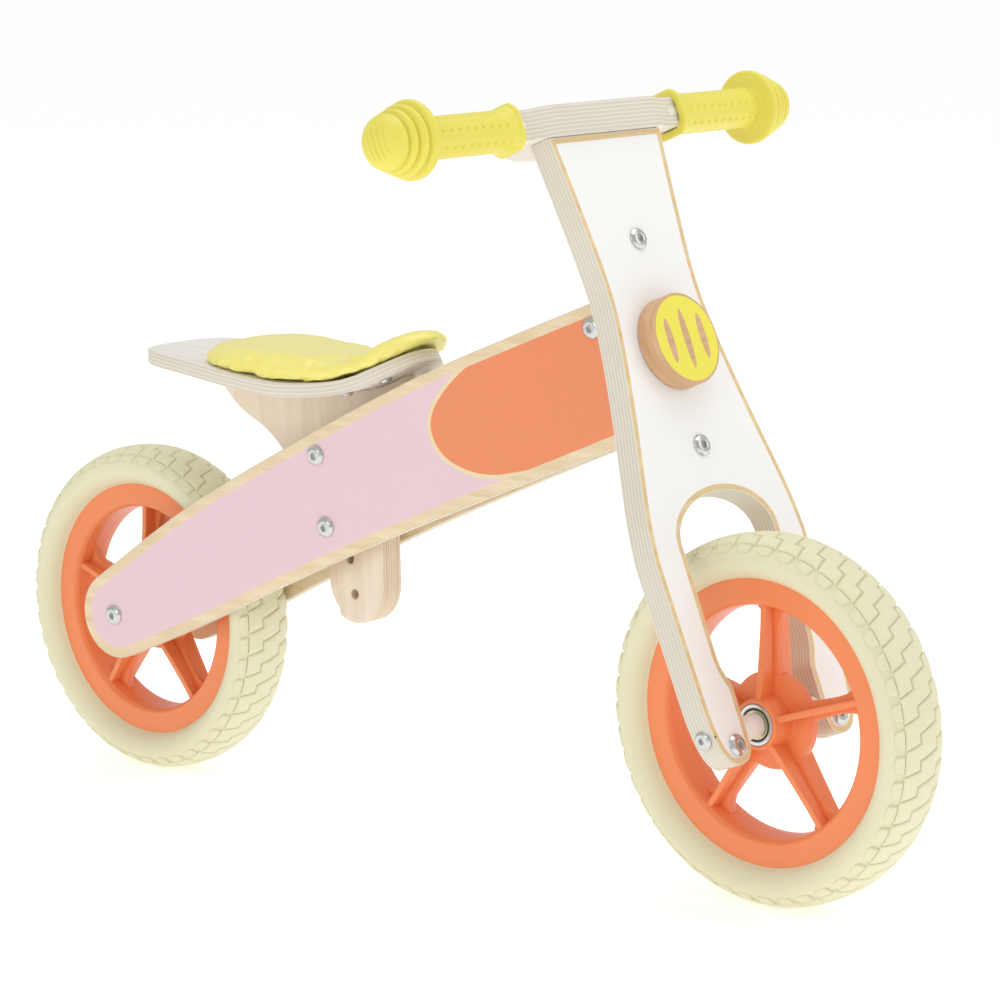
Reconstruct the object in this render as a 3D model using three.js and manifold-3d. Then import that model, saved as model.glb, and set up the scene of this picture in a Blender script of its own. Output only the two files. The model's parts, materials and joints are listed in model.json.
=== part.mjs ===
// A child's balance bike: a plywood frame of two side panels on a rear wheel, and a plywood
// fork board that steers on a pin at the front. Millimetres, +X forward, +Y left, +Z up.
import * as THREE from "three";
import { mergeVertices } from "three/addons/utils/BufferGeometryUtils.js";
import Module from "manifold-3d";

const wasm = await Module();
wasm.setup();

// ---------------------------------------------------------------- driving dimensions

const GAP = 0.3; // air left between pieces that touch on the real bike
const WHEELBASE = 598;
const WHEEL_R = 125; // 10 inch foam tyre
const TYRE_HALF = 26;
const RIM_R = 97;
const RIM_HALF = 15.5;
const HUB_HALF = 21;
const BEARING_R = 14; // 28 mm outside, 12 mm bore, 8 mm wide
const BEARING_W = 8;
const AXLE_R = 5.7;
const SPACER_R = 8.25;
const BORE_R = 6.1; // bore of the bearings and spacers
const RACE_R = 10.2; // outside of a bearing's inner ring
const FLANGE_R = 33;
const TYRE_SEGMENTS = 32;
const REAR_SPACER_END = 35.8;

const PLY = 18; // fork board thickness
const RAKE = THREE.MathUtils.degToRad(21.7); // steering axis, leaning back from upright
const PIN_BEHIND = 19; // steering axis behind the middle of the fork board
const PIN_R = 5;
const HEAD_R = 9;
const HEAD_LOW = 208.8; // along the steering axis, from the front axle
const HEAD_HIGH = 301.2;
const HEAD_BOLT_D = [-42, -40]; // upper and lower cross bolt, behind the fork board
const HEAD_BOLT_V = [286, 228];
const PIN_LOW = 193;
const PIN_HIGH = 324;
const BLOCK_HALF = 16;
const BLOCK_BACK = -30;
const BLOCK_LOW = 172;
const BLOCK_HIGH = 346;
const WASHER = 2.2;
const BOLT_R = 3; // M6 furniture bolts
const BOLT_HEAD_R = 7.5;

const BOARD_TOP = 406;
const ARCH_R = 48;
const ARCH_HIGH = 30;
const ARCH_V = 125;
const UPPER_BOLT_V = 331;
const LOWER_BOLT_V = 187;
const LAMP_V = 257;
const LAMP_R = 31.5;
const LAMP_DEEP = 15;
const LEG_BOLT = { y: 55, v: -9 };
const LEG_HALF = 73; // outer face of the legs at the axle
const LEG_INNER = 41;
const LEG_SEAT_DEEP = 3; // recess for the axle bolt's head
const AXLE_STUD = 60; // end of the axle's threaded stud

const BAR_THICK = 21;
const BAR_D = -3; // bar centre line, forward of the middle of the fork board
const GRIP_START = 81;
const GRIP_TUBE_R = 14;
const DOWEL_R = 10.5;
const GRIP_END = 206.3;
const DOWEL_END = 190;
const ARM_HALF = 10;
const ARM_START = 80;
const ARM_END = 92;

const PANEL = 9; // side panel thickness
const PANEL_REAR_HALF = 46; // outer face at the rear axle
const PANEL_END_R = 33;
const PANEL_END_TOP = 0.62; // where the round end meets the top and lower edges, in radians
const PANEL_END_LOW = 0.42;
const FRONT_END = -31; // the panels' front edge, behind the fork board
const TONGUE = 6;
const BEND_X = 425; // forward of this the panels run parallel
const PANEL_FRONT_HALF = TONGUE / 2 + GAP + PANEL;
const SPLAY = Math.atan((PANEL_REAR_HALF - PANEL_FRONT_HALF) / BEND_X);

const POST_CORE = 10;
const POST_CHEEK = 4.3;
const POST_HOLE = { x: 221, z: 163, lean: 0.155, pitch: 25.8 };
const POST_HOLE_R = 3.6;
const POST_HALF = 29.5;
const POST_END_LIFT = 8; // middle of the post's round end, above its lowest hole
const POST_CHEEK_REAR = 15.5;
const WEDGE_X = [186, 234];
const WEDGE_Z = [205, 275];
const SEAT_PLY = 10;
const CUSHION = 15;
const SEAT_REAR = 30;
const SEAT_WIDEST = 146;
const SEAT_CORNER = 32;
const SEAT_NOSE = { x: 257, r: 35 }; // middle and radius of the seat's round front end
const CUSHION_REAR = 96;
const CUSHION_NOSE = { x: 267, r: 37 };
const SEAT_SCREWS = [
  { place: "rear", along: 0.667, y: 30 },
  { place: "front", along: 0.81, y: 22 },
];
const SEAT_SCREW_DEEP = 7;

const STEEL = { color: 0xc9cbcc, roughness: 0.3, metalness: 1 };
const BARE_PLY = { color: 0xe1cda4, roughness: 0.6, metalness: 0 };
const WHITE = { color: 0xf3f2ee, roughness: 0.5, metalness: 0 };
const PINK = { color: 0xe9ccd3, roughness: 0.45, metalness: 0 };
const YELLOW = { color: 0xeae27c, roughness: 0.6, metalness: 0 };
const ORANGE = { color: 0xf08a55, roughness: 0.4, metalness: 0 };
const CREAM = { color: 0xe6e1c4, roughness: 0.8, metalness: 0 };
const NYLON = { color: 0xf1efe9, roughness: 0.5, metalness: 0 };

// ---------------------------------------------------------------- shared shape helpers

const X = new THREE.Vector3(1, 0, 0);
const Y = new THREE.Vector3(0, 1, 0);
const Z = new THREE.Vector3(0, 0, 1);
const UPRIGHT = new THREE.Matrix4().makeBasis(X, Z, Y.clone().negate()); // outline in X and Z
const FACING = new THREE.Matrix4().makeBasis(Y, Z, X); // outline in Y and Z

function toSolid(geometry) {
  const bare = geometry.clone();
  bare.deleteAttribute("normal");
  bare.deleteAttribute("uv");
  const merged = mergeVertices(bare, 1e-3);
  return new wasm.Manifold(
    new wasm.Mesh({
      numProp: 3,
      vertProperties: new Float32Array(merged.attributes.position.array),
      triVerts: new Uint32Array(merged.index.array),
    }),
  );
}

function toGeometry(solid) {
  const mesh = solid.getMesh();
  const geometry = new THREE.BufferGeometry();
  const position = new THREE.BufferAttribute(new Float32Array(mesh.vertProperties), 3);
  geometry.setAttribute("position", position);
  geometry.setIndex(new THREE.BufferAttribute(new Uint32Array(mesh.triVerts), 1));
  return geometry;
}

function join(...pieces) {
  return toGeometry(pieces.map(toSolid).reduce((whole, piece) => whole.add(piece)));
}

function cut(body, ...tools) {
  return toGeometry(tools.map(toSolid).reduce((rest, tool) => rest.subtract(tool), toSolid(body)));
}

function common(a, b) {
  return toGeometry(toSolid(a).intersect(toSolid(b)));
}

function plate(shape, thickness, frame = new THREE.Matrix4(), curveSegments = 10) {
  const options = { depth: thickness, bevelEnabled: false, curveSegments };
  const geometry = new THREE.ExtrudeGeometry(shape, options);
  geometry.translate(0, 0, -thickness / 2);
  return geometry.applyMatrix4(frame);
}

// A turned piece about the Y axis: rows of [radius, distance along Y].
function turned(rows, segments = 24) {
  const profile = rows.map(([radius, along]) => new THREE.Vector2(radius, along));
  return new THREE.LatheGeometry(profile, segments);
}

function rod(radius, from, to, segments = 16) {
  const rows = [
    [0, from],
    [radius, from],
    [radius, to],
    [0, to],
  ];
  return turned(rows, segments);
}

function tube(inner, outer, from, to, segments = 24) {
  const rows = [
    [inner, from],
    [outer, from],
    [outer, to],
    [inner, to],
    [inner, from],
  ];
  return turned(rows, segments);
}

function box(low, high) {
  const size = high.map((value, i) => value - low[i]);
  const middle = high.map((value, i) => (value + low[i]) / 2);
  return new THREE.BoxGeometry(...size).translate(...middle);
}

function alongX(geometry) {
  return geometry.rotateZ(-Math.PI / 2);
}

function alongZ(geometry) {
  return geometry.rotateX(Math.PI / 2);
}

function piece(group, name, geometry, look, place = [0, 0, 0]) {
  const mesh = new THREE.Mesh(geometry, new THREE.MeshStandardMaterial(look));
  mesh.name = name;
  mesh.position.set(...place);
  group.add(mesh);
  return mesh;
}

const SIDES = [
  ["right", -1],
  ["left", 1],
];

// Mirrors a geometry made for the left side onto the side asked for, keeping its faces out.
function onSide(geometry, side) {
  if (side > 0) return geometry;
  const flipped = geometry.clone().scale(1, -1, 1);
  const indexed = mergeVertices(flipped.deleteAttribute("normal"), 1e-3);
  const index = indexed.index.array;
  for (let i = 0; i < index.length; i += 3) {
    [index[i], index[i + 1]] = [index[i + 1], index[i]];
  }
  return indexed;
}

// A button-head bolt along +Y: the head's seat at 0, the dome outwards, the shank inwards.
function buttonBolt(shank, radius = BOLT_R, headRadius = BOLT_HEAD_R) {
  const rows = [
    [0, -shank],
    [radius, -shank],
    [radius, 0],
    [headRadius, 0],
    [headRadius, 1.4],
    [headRadius * 0.8, 3.6],
    [2.4, 4.4],
    [2.2, 2],
    [0, 2],
  ];
  return turned(rows, 10);
}

// A round flange nut on the far end of a bolt, its face outwards along +Y.
function flangeNut(bore = BOLT_R) {
  const rows = [
    [bore + GAP, 0],
    [BOLT_HEAD_R, 0],
    [BOLT_HEAD_R, 1.4],
    [BOLT_HEAD_R * 0.8, 3.6],
    [bore + GAP, 3.6],
    [bore + GAP, 0],
  ];
  return turned(rows, 12);
}

// ---------------------------------------------------------------- wheels

function tyreGeometry() {
  const half = [
    [90.4, 11],
    [97.4, 11],
    [97.4, 16],
    [102, 25],
    [109, TYRE_HALF],
    [117.5, 23.5],
    [123, 13],
  ];
  const other = half.map(([r, y]) => [r, -y]).reverse();
  const rows = [...half, [WHEEL_R, 0], ...other, half[0]].reverse();
  return turned(rows, TYRE_SEGMENTS);
}

function rimRing() {
  const half = [
    [79, 14],
    [81, RIM_HALF],
    [RIM_R, RIM_HALF],
    [RIM_R, 11.4],
    [90, 11.3],
  ];
  const other = half.map(([r, y]) => [r, -y]).reverse();
  return turned([...half, ...other, half[0]].reverse(), TYRE_SEGMENTS);
}

function spoke(angle) {
  const web = new THREE.Shape();
  web.moveTo(-8, 20);
  web.lineTo(8, 20);
  web.lineTo(5.5, 58);
  web.lineTo(13, 82);
  web.lineTo(-13, 82);
  web.lineTo(-5.5, 58);
  const flat = plate(web, 7, UPRIGHT);
  const rib = box([-2.4, -12, 22], [2.4, 12, 82]);
  return join(flat, rib).rotateY(angle);
}

function rimGeometry() {
  const hub = rod(18, -HUB_HALF, HUB_HALF, 24);
  const flange = rod(FLANGE_R, -5, 5, 24);
  const spokes = [0, 1, 2, 3, 4].map((i) => spoke((i * Math.PI * 2) / 5));
  const body = join(rimRing(), hub, flange, ...spokes);
  const bore = rod(10, -30, 30, 16);
  const seat = HUB_HALF - BEARING_W - GAP;
  const left = rod(BEARING_R + GAP, seat, 30, 20);
  const right = rod(BEARING_R + GAP, -30, -seat, 20);
  return cut(body, bore, left, right);
}

function addWheel(name, place) {
  const wheel = new THREE.Group();
  wheel.position.set(...place);
  piece(wheel, name + "_tyre", tyreGeometry(), CREAM);
  piece(wheel, name + "_rim", rimGeometry(), ORANGE);
  for (const [label, side] of SIDES) {
    const low = HUB_HALF - BEARING_W;
    const ring = onSide(tube(11, BEARING_R, low, HUB_HALF, 16), side);
    piece(wheel, `${name}_bearing_outer_${label}`, ring, STEEL);
  }
  return wheel;
}

// Inner bearing rings and plastic spacers, which stay still on the axle while the hub turns.
function addHubParts(group, name, place, spacerEnd) {
  for (const [label, side] of SIDES) {
    const low = HUB_HALF - BEARING_W;
    const ring = onSide(tube(BORE_R, RACE_R, low, HUB_HALF, 12), side);
    piece(group, `${name}_bearing_inner_${label}`, ring, STEEL, place);
    const spacer = onSide(tube(BORE_R, SPACER_R, HUB_HALF + GAP, spacerEnd, 12), side);
    piece(group, `${name}_spacer_${label}`, spacer, NYLON, place);
  }
}

// ---------------------------------------------------------------- side panels

// A point given along the steering axis (v) and forward of the fork board (d), seen from the side.
function forkPoint(d, v) {
  const x = WHEELBASE + d * Math.cos(RAKE) - v * Math.sin(RAKE);
  const z = WHEEL_R + d * Math.sin(RAKE) + v * Math.cos(RAKE);
  return new THREE.Vector2(x, z);
}

const HEAD_BOLTS = HEAD_BOLT_D.map((d, i) => forkPoint(d, HEAD_BOLT_V[i]));
const REAR_AXLE = [0, 0, WHEEL_R];
const FRONT_AXLE = [WHEELBASE, 0, WHEEL_R];

function panelShape() {
  const topEdge = [
    [74, 214],
    [176, 269.5],
    [290, 326],
    [381, 364],
  ];
  const lowEdge = [
    [406, 268.5],
    [282, 217],
    [171, 167],
    [84, 125.5],
  ];
  const toVectors = (rows) => rows.map(([x, z]) => new THREE.Vector2(x, z));
  const shape = new THREE.Shape();
  shape.moveTo(-PANEL_END_R * Math.sin(PANEL_END_TOP), WHEEL_R + PANEL_END_R * Math.cos(PANEL_END_TOP));
  const noseHigh = forkPoint(FRONT_END, 292);
  const noseLow = forkPoint(FRONT_END, 223);
  const topFront = forkPoint(FRONT_END - 10, 302);
  shape.splineThru([...toVectors(topEdge), topFront]);
  const cornerHigh = forkPoint(FRONT_END, 302);
  shape.quadraticCurveTo(cornerHigh.x, cornerHigh.y, noseHigh.x, noseHigh.y);
  shape.lineTo(noseLow.x, noseLow.y);
  const lowFront = forkPoint(FRONT_END - 18, 205);
  const cornerLow = forkPoint(FRONT_END, 205);
  shape.quadraticCurveTo(cornerLow.x, cornerLow.y, lowFront.x, lowFront.y);
  const endLow = [
    PANEL_END_R * Math.sin(PANEL_END_LOW),
    WHEEL_R - PANEL_END_R * Math.cos(PANEL_END_LOW),
  ];
  shape.splineThru([...toVectors(lowEdge), new THREE.Vector2(...endLow)]);
  const arcStart = -Math.PI / 2 + PANEL_END_LOW;
  shape.absarc(0, WHEEL_R, PANEL_END_R, arcStart, Math.PI / 2 + PANEL_END_TOP, true);
  return shape;
}

function crossHoles(places, radius) {
  return places.map(({ x, y }) => rod(radius, -80, 80, 12).translate(x, 0, y));
}

// The left panel: flat at the front, then bent outwards to reach the rear axle.
function panelGeometry() {
  const flat = plate(panelShape(), PANEL, UPRIGHT, 4).translate(0, PANEL_FRONT_HALF - PANEL / 2, 0);
  const front = common(flat, box([BEND_X - 0.5, -50, 0], [700, 50, 600]));
  const rear = common(flat, box([-200, -50, 0], [BEND_X, 50, 600]));
  rear.translate(-BEND_X, -PANEL_FRONT_HALF, 0).rotateZ(-SPLAY).translate(BEND_X, PANEL_FRONT_HALF, 0);
  const holes = crossHoles([new THREE.Vector2(0, WHEEL_R), ...postBolts(), ...HEAD_BOLTS], BOLT_R + GAP);
  return cut(join(front, rear), ...holes);
}

// The panel's outer face at a place along the bike.
function panelOuter(x) {
  if (x > BEND_X) return PANEL_FRONT_HALF;
  return PANEL_FRONT_HALF + (BEND_X - x) * Math.tan(SPLAY);
}

function addCrossBolt(group, name, at) {
  const slope = at.x > BEND_X ? 0 : BOLT_HEAD_R * Math.tan(SPLAY);
  const seat = panelOuter(at.x) + slope + GAP;
  const bolt = onSide(buttonBolt(2 * seat + 1.5), -1);
  piece(group, name + "_bolt", bolt, STEEL, [at.x, -seat, at.y]);
  piece(group, name + "_nut", flangeNut(), STEEL, [at.x, seat, at.y]);
}

// ---------------------------------------------------------------- seat and post

const SEAT_CURVE = new THREE.SplineCurve([
  new THREE.Vector2(30, 322),
  new THREE.Vector2(88, 319.5),
  new THREE.Vector2(144, 315),
  new THREE.Vector2(194, 310.5),
  new THREE.Vector2(238, 314.5),
  new THREE.Vector2(274, 328),
  new THREE.Vector2(306, 348),
]);

// Underside of the seat plate, from one place along the bike to another, lifted by a distance.
function seatLine(from, to, lift, steps) {
  const points = [];
  for (let i = 0; i <= steps; i += 1) {
    const point = SEAT_CURVE.getPoint(from + ((to - from) * i) / steps);
    const slope = SEAT_CURVE.getTangent(from + ((to - from) * i) / steps);
    points.push(new THREE.Vector2(point.x - slope.y * lift, point.y + slope.x * lift));
  }
  return points;
}

// The plan outline of the seat: wide with large round corners at the rear, a round nose in front.
function seatPlan(rear, nose, rearHalf, midHalf) {
  const shape = new THREE.Shape();
  shape.moveTo(rear, -rearHalf + SEAT_CORNER);
  shape.bezierCurveTo(rear + 2, -rearHalf - 2, rear + 25, -rearHalf - 8, SEAT_WIDEST, -midHalf);
  shape.bezierCurveTo(SEAT_WIDEST + 55, -midHalf, nose.x - 40, -nose.r - 6, nose.x, -nose.r);
  shape.absarc(nose.x, 0, nose.r, -Math.PI / 2, Math.PI / 2, false);
  shape.bezierCurveTo(nose.x - 40, nose.r + 6, SEAT_WIDEST + 55, midHalf, SEAT_WIDEST, midHalf);
  shape.bezierCurveTo(rear + 25, rearHalf + 8, rear + 2, rearHalf + 2, rear, rearHalf - SEAT_CORNER);
  return shape;
}

function seatSlab(lift, thickness) {
  const low = seatLine(0, 1, lift, 12);
  const high = seatLine(0, 1, lift + thickness, 12).reverse();
  return plate(new THREE.Shape([...low, ...high]), 200, UPRIGHT);
}

function seatPlateGeometry() {
  const plan = plate(seatPlan(SEAT_REAR, SEAT_NOSE, 46, 62), 400, new THREE.Matrix4(), 5);
  const slab = common(seatSlab(0, SEAT_PLY), plan.translate(0, 0, 300));
  return cut(slab, ...seatScrewPlaces().map(screwHole));
}

function cushionGeometry() {
  const lift = SEAT_PLY + GAP + 1;
  const base = seatLine(0.16, 1, lift, 12);
  const crown = seatLine(0.16, 1, lift + CUSHION, 12).reverse();
  const shape = new THREE.Shape([...base, ...crown.slice(1, -1)]);
  const plan = plate(seatPlan(CUSHION_REAR, CUSHION_NOSE, 48, 58), 400, new THREE.Matrix4(), 5);
  return common(plate(shape, 200, UPRIGHT), plan.translate(0, 0, 300));
}

function seatScrewPlaces() {
  return SEAT_SCREWS.flatMap(({ place, along, y }) =>
    SIDES.map(([label, side]) => ({ along, y: side * y, label: place + "_" + label })),
  );
}

function atSeatScrew(geometry, { along, y }) {
  const point = SEAT_CURVE.getPoint(along);
  const slope = SEAT_CURVE.getTangent(along);
  return geometry.rotateY(-Math.atan2(slope.y, slope.x)).translate(point.x, y, point.y);
}

function screwHole(place) {
  return atSeatScrew(alongZ(rod(2.5 + GAP, -5, SEAT_SCREW_DEEP + GAP, 12)), place);
}

function seatScrew(place) {
  const rows = [
    [0, -2.6],
    [3.4, -2.3],
    [5, -0.9],
    [5, -GAP],
    [2.5, -GAP],
    [2.5, SEAT_SCREW_DEEP],
    [0, SEAT_SCREW_DEEP],
  ];
  return atSeatScrew(alongZ(turned(rows, 14)), place);
}

function postHole(index) {
  const z = POST_HOLE.z + index * POST_HOLE.pitch;
  return new THREE.Vector2(POST_HOLE.x - POST_HOLE.lean * (z - POST_HOLE.z), z);
}

function postBolts() {
  return [postHole(2), postHole(4)];
}

function postHoles() {
  const all = [0, 1, 2, 3, 4].map(postHole);
  return crossHoles(all, POST_HOLE_R);
}

// The post's lower end: a half round below a straight front edge and a straight rear edge.
function postCoreShape() {
  const low = postHole(0);
  const front = low.x + POST_HALF;
  const rear = low.x - POST_HALF;
  const shape = new THREE.Shape();
  shape.moveTo(front, low.y + POST_END_LIFT);
  shape.lineTo(front, 232);
  shape.bezierCurveTo(front, 262, front + 4, 285, front + 24, 300);
  const under = seatLine(0.14, 0.83, -GAP, 12).reverse();
  under.forEach((point) => shape.lineTo(point.x, point.y));
  shape.bezierCurveTo(82, 300, 100, 288, 122, 279);
  shape.bezierCurveTo(150, 266, 165, 235, rear, 205);
  shape.lineTo(rear, low.y + POST_END_LIFT);
  shape.absarc(low.x, low.y + POST_END_LIFT, POST_HALF, Math.PI, 2 * Math.PI, false);
  return shape;
}

function postCheekShape() {
  const low = postHole(0);
  const front = low.x + POST_HALF - 0.2;
  const rear = low.x - POST_CHEEK_REAR;
  const shape = new THREE.Shape();
  shape.moveTo(front, low.y + POST_END_LIFT);
  shape.lineTo(front, 270);
  shape.lineTo(rear - 7, 270);
  shape.lineTo(rear, low.y - 17);
  shape.absarc(low.x, low.y + POST_END_LIFT, POST_HALF - 0.2, Math.PI * 1.325, 2 * Math.PI, false);
  return shape;
}

// A wooden wedge that fills the space between the post's cheek and the splayed panel.
function postWedge() {
  const near = POST_CORE / 2 + POST_CHEEK + 2 * GAP;
  const far = (x) => panelOuter(x) - PANEL / Math.cos(SPLAY) - GAP;
  const shape = new THREE.Shape();
  shape.moveTo(WEDGE_X[0], near);
  shape.lineTo(WEDGE_X[1], near);
  shape.lineTo(WEDGE_X[1], far(WEDGE_X[1]));
  shape.lineTo(WEDGE_X[0], far(WEDGE_X[0]));
  const height = WEDGE_Z[1] - WEDGE_Z[0];
  const block = plate(shape, height).translate(0, 0, (WEDGE_Z[0] + WEDGE_Z[1]) / 2);
  return cut(block, ...crossHoles(postBolts(), BOLT_R + GAP));
}

function addSeat(frame) {
  const core = cut(plate(postCoreShape(), POST_CORE, UPRIGHT), ...postHoles());
  piece(frame, "post_core", core, BARE_PLY);
  const middle = POST_CORE / 2 + GAP + POST_CHEEK / 2;
  const cheek = cut(plate(postCheekShape(), POST_CHEEK, UPRIGHT).translate(0, middle, 0), ...postHoles());
  for (const [label, side] of SIDES) {
    piece(frame, "post_cheek_" + label, onSide(cheek, side), BARE_PLY);
    piece(frame, "post_wedge_" + label, onSide(postWedge(), side), BARE_PLY);
  }
  addCrossBolt(frame, "post_lower", postHole(2));
  addCrossBolt(frame, "post_upper", postHole(4));
  piece(frame, "seat_plate", seatPlateGeometry(), BARE_PLY);
  piece(frame, "seat_cushion", cushionGeometry(), YELLOW);
  for (const place of seatScrewPlaces()) {
    piece(frame, "seat_screw_" + place.label, seatScrew(place), STEEL);
  }
}

// ---------------------------------------------------------------- steering head and fork

function headTube() {
  const sleeve = alongZ(rod(HEAD_R, HEAD_LOW, HEAD_HIGH, 18)).translate(-PIN_BEHIND, 0, 0);
  const tongue = box([-95, -TONGUE / 2, 214], [-PIN_BEHIND, TONGUE / 2, 296]);
  const bore = alongZ(rod(PIN_R + GAP, 0, 400, 16)).translate(-PIN_BEHIND, 0, 0);
  const bolts = HEAD_BOLT_D.map((d, i) =>
    rod(BOLT_R + GAP, -20, 20, 12).translate(d, 0, HEAD_BOLT_V[i]),
  );
  return cut(join(sleeve, tongue), bore, ...bolts);
}

function boardShape() {
  const side = [
    [50.5, 350],
    [46.5, 300],
    [50, 262],
    [60, 212],
    [75, 150],
  ];
  const half = (sign) => {
    const run = new THREE.Path();
    run.moveTo(sign * 57, BOARD_TOP);
    run.splineThru([...side, [79.5, 118]].map(([y, v]) => new THREE.Vector2(sign * y, v)));
    run.lineTo(sign * 77, 20);
    run.quadraticCurveTo(sign * 75, -22, sign * 56, -22);
    run.quadraticCurveTo(sign * LEG_INNER, -22, sign * LEG_INNER, -8);
    run.lineTo(sign * LEG_INNER, 24);
    run.bezierCurveTo(sign * LEG_INNER, 34, sign * ARCH_R, 36, sign * ARCH_R, 52);
    run.lineTo(sign * ARCH_R, ARCH_V);
    return run.getPoints(4);
  };
  const arch = new THREE.EllipseCurve(0, ARCH_V, ARCH_R, ARCH_HIGH, 0, Math.PI, false);
  const outline = [...half(1), ...arch.getPoints(16).slice(1, -1), ...half(-1).reverse()];
  return new THREE.Shape(outline);
}

function faceHoles(places, radius) {
  return places.map(([y, v]) => alongX(rod(radius, -60, 60, 12)).translate(0, y, v));
}

function boardGeometry() {
  const board = plate(boardShape(), PLY, FACING, 8);
  const bolts = faceHoles(
    [
      [0, UPPER_BOLT_V],
      [0, LOWER_BOLT_V],
    ],
    BOLT_R + GAP,
  );
  const clampHoles = SIDES.map(([, side]) =>
    alongX(rod(BOLT_R + GAP, -6, 60, 12)).translate(0, side * LEG_BOLT.y, LEG_BOLT.v),
  );
  const axleHoles = SIDES.map(([, side]) => onSide(rod(BOLT_R + GAP, 20, 100, 12), side));
  const headSeats = SIDES.map(([, side]) => onSide(rod(6.6, LEG_HALF - LEG_SEAT_DEEP, 100, 12), side));
  return cut(board, ...bolts, ...clampHoles, ...axleHoles, ...headSeats);
}

function pivotBlock(low, high, boltV, pinLow, pinHigh) {
  const block = box([BLOCK_BACK, -BLOCK_HALF, low], [-PLY / 2 - GAP, BLOCK_HALF, high]);
  const pin = alongZ(rod(PIN_R + GAP, pinLow - GAP, pinHigh + GAP, 16)).translate(-PIN_BEHIND, 0, 0);
  return cut(block, pin, ...faceHoles([[0, boltV]], BOLT_R + GAP));
}

// The handlebar board seen from above: a bowed back, a nearly straight front, square arms.
function barPlan() {
  const rear = BAR_D - ARM_HALF;
  const front = BAR_D + ARM_HALF;
  const shape = new THREE.Shape();
  shape.moveTo(rear, ARM_END);
  shape.lineTo(front, ARM_END);
  shape.lineTo(front, ARM_START);
  shape.bezierCurveTo(front, 62, 14, 60, 14, 44);
  shape.lineTo(14, -44);
  shape.bezierCurveTo(14, -60, front, -62, front, -ARM_START);
  shape.lineTo(front, -ARM_END);
  shape.lineTo(rear, -ARM_END);
  shape.lineTo(rear, -ARM_START);
  shape.bezierCurveTo(rear, -62, -32, -64, -42, -42);
  shape.bezierCurveTo(-54, -16, -54, 16, -42, 42);
  shape.bezierCurveTo(-32, 64, rear, 62, rear, ARM_START);
  return shape;
}

const BAR_V = BOARD_TOP + GAP + BAR_THICK / 2;

function barGeometry() {
  const body = plate(barPlan(), BAR_THICK, new THREE.Matrix4(), 6).translate(0, 0, BAR_V);
  const dowel = rod(DOWEL_R, -DOWEL_END, DOWEL_END, 18).translate(BAR_D, 0, BAR_V);
  return join(body, dowel);
}

function gripGeometry() {
  const collarBore = 16;
  const rows = [
    [collarBore, GRIP_START],
    [18.6, GRIP_START],
    [19.4, GRIP_START + 2.5],
    [18, GRIP_START + 5],
    [GRIP_TUBE_R, GRIP_START + 20],
    [GRIP_TUBE_R, 170],
    [25.4, 171.5],
    [26, 176],
    [23.2, 178.5],
    [23.6, 183],
    [21, 185],
    [21, 189.5],
    [18.5, 191.5],
    [17.6, 196],
    [14, 201.5],
    [8.5, 205],
    [0, GRIP_END],
    [0, DOWEL_END + 1],
    [DOWEL_R + GAP, DOWEL_END + 1],
    [DOWEL_R + GAP, GRIP_START + 14],
    [collarBore, GRIP_START + 11.5],
    [collarBore, GRIP_START],
  ];
  return turned(rows, 18);
}

function addFrontAxle(fork) {
  const inner = LEG_INNER - GAP;
  const rows = [
    [0, -AXLE_STUD],
    [BOLT_R, -AXLE_STUD],
    [BOLT_R, -inner],
    [AXLE_R, -inner],
    [AXLE_R, inner],
    [BOLT_R, inner],
    [BOLT_R, AXLE_STUD],
    [0, AXLE_STUD],
  ];
  piece(fork, "front_axle", turned(rows, 14), STEEL);
  for (const [label, side] of SIDES) {
    const screw = onSide(buttonBolt(9, BOLT_R, 6), side);
    piece(fork, "front_axle_bolt_" + label, screw, STEEL, [0, side * (LEG_HALF - LEG_SEAT_DEEP + GAP), 0]);
    const clamp = alongX(buttonBolt(PLY / 2 + 4));
    piece(fork, "leg_bolt_" + label, clamp, STEEL, [PLY / 2 + GAP, side * LEG_BOLT.y, LEG_BOLT.v]);
  }
}

function addForkBolt(fork, name, v) {
  const reach = PLY / 2 - BLOCK_BACK + 2 * GAP + 3;
  piece(fork, name + "_bolt", alongX(buttonBolt(reach)), STEEL, [PLY / 2 + GAP, 0, v]);
  const nut = alongX(flangeNut()).rotateZ(Math.PI);
  piece(fork, name + "_nut", nut, STEEL, [BLOCK_BACK - GAP, 0, v]);
}

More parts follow.
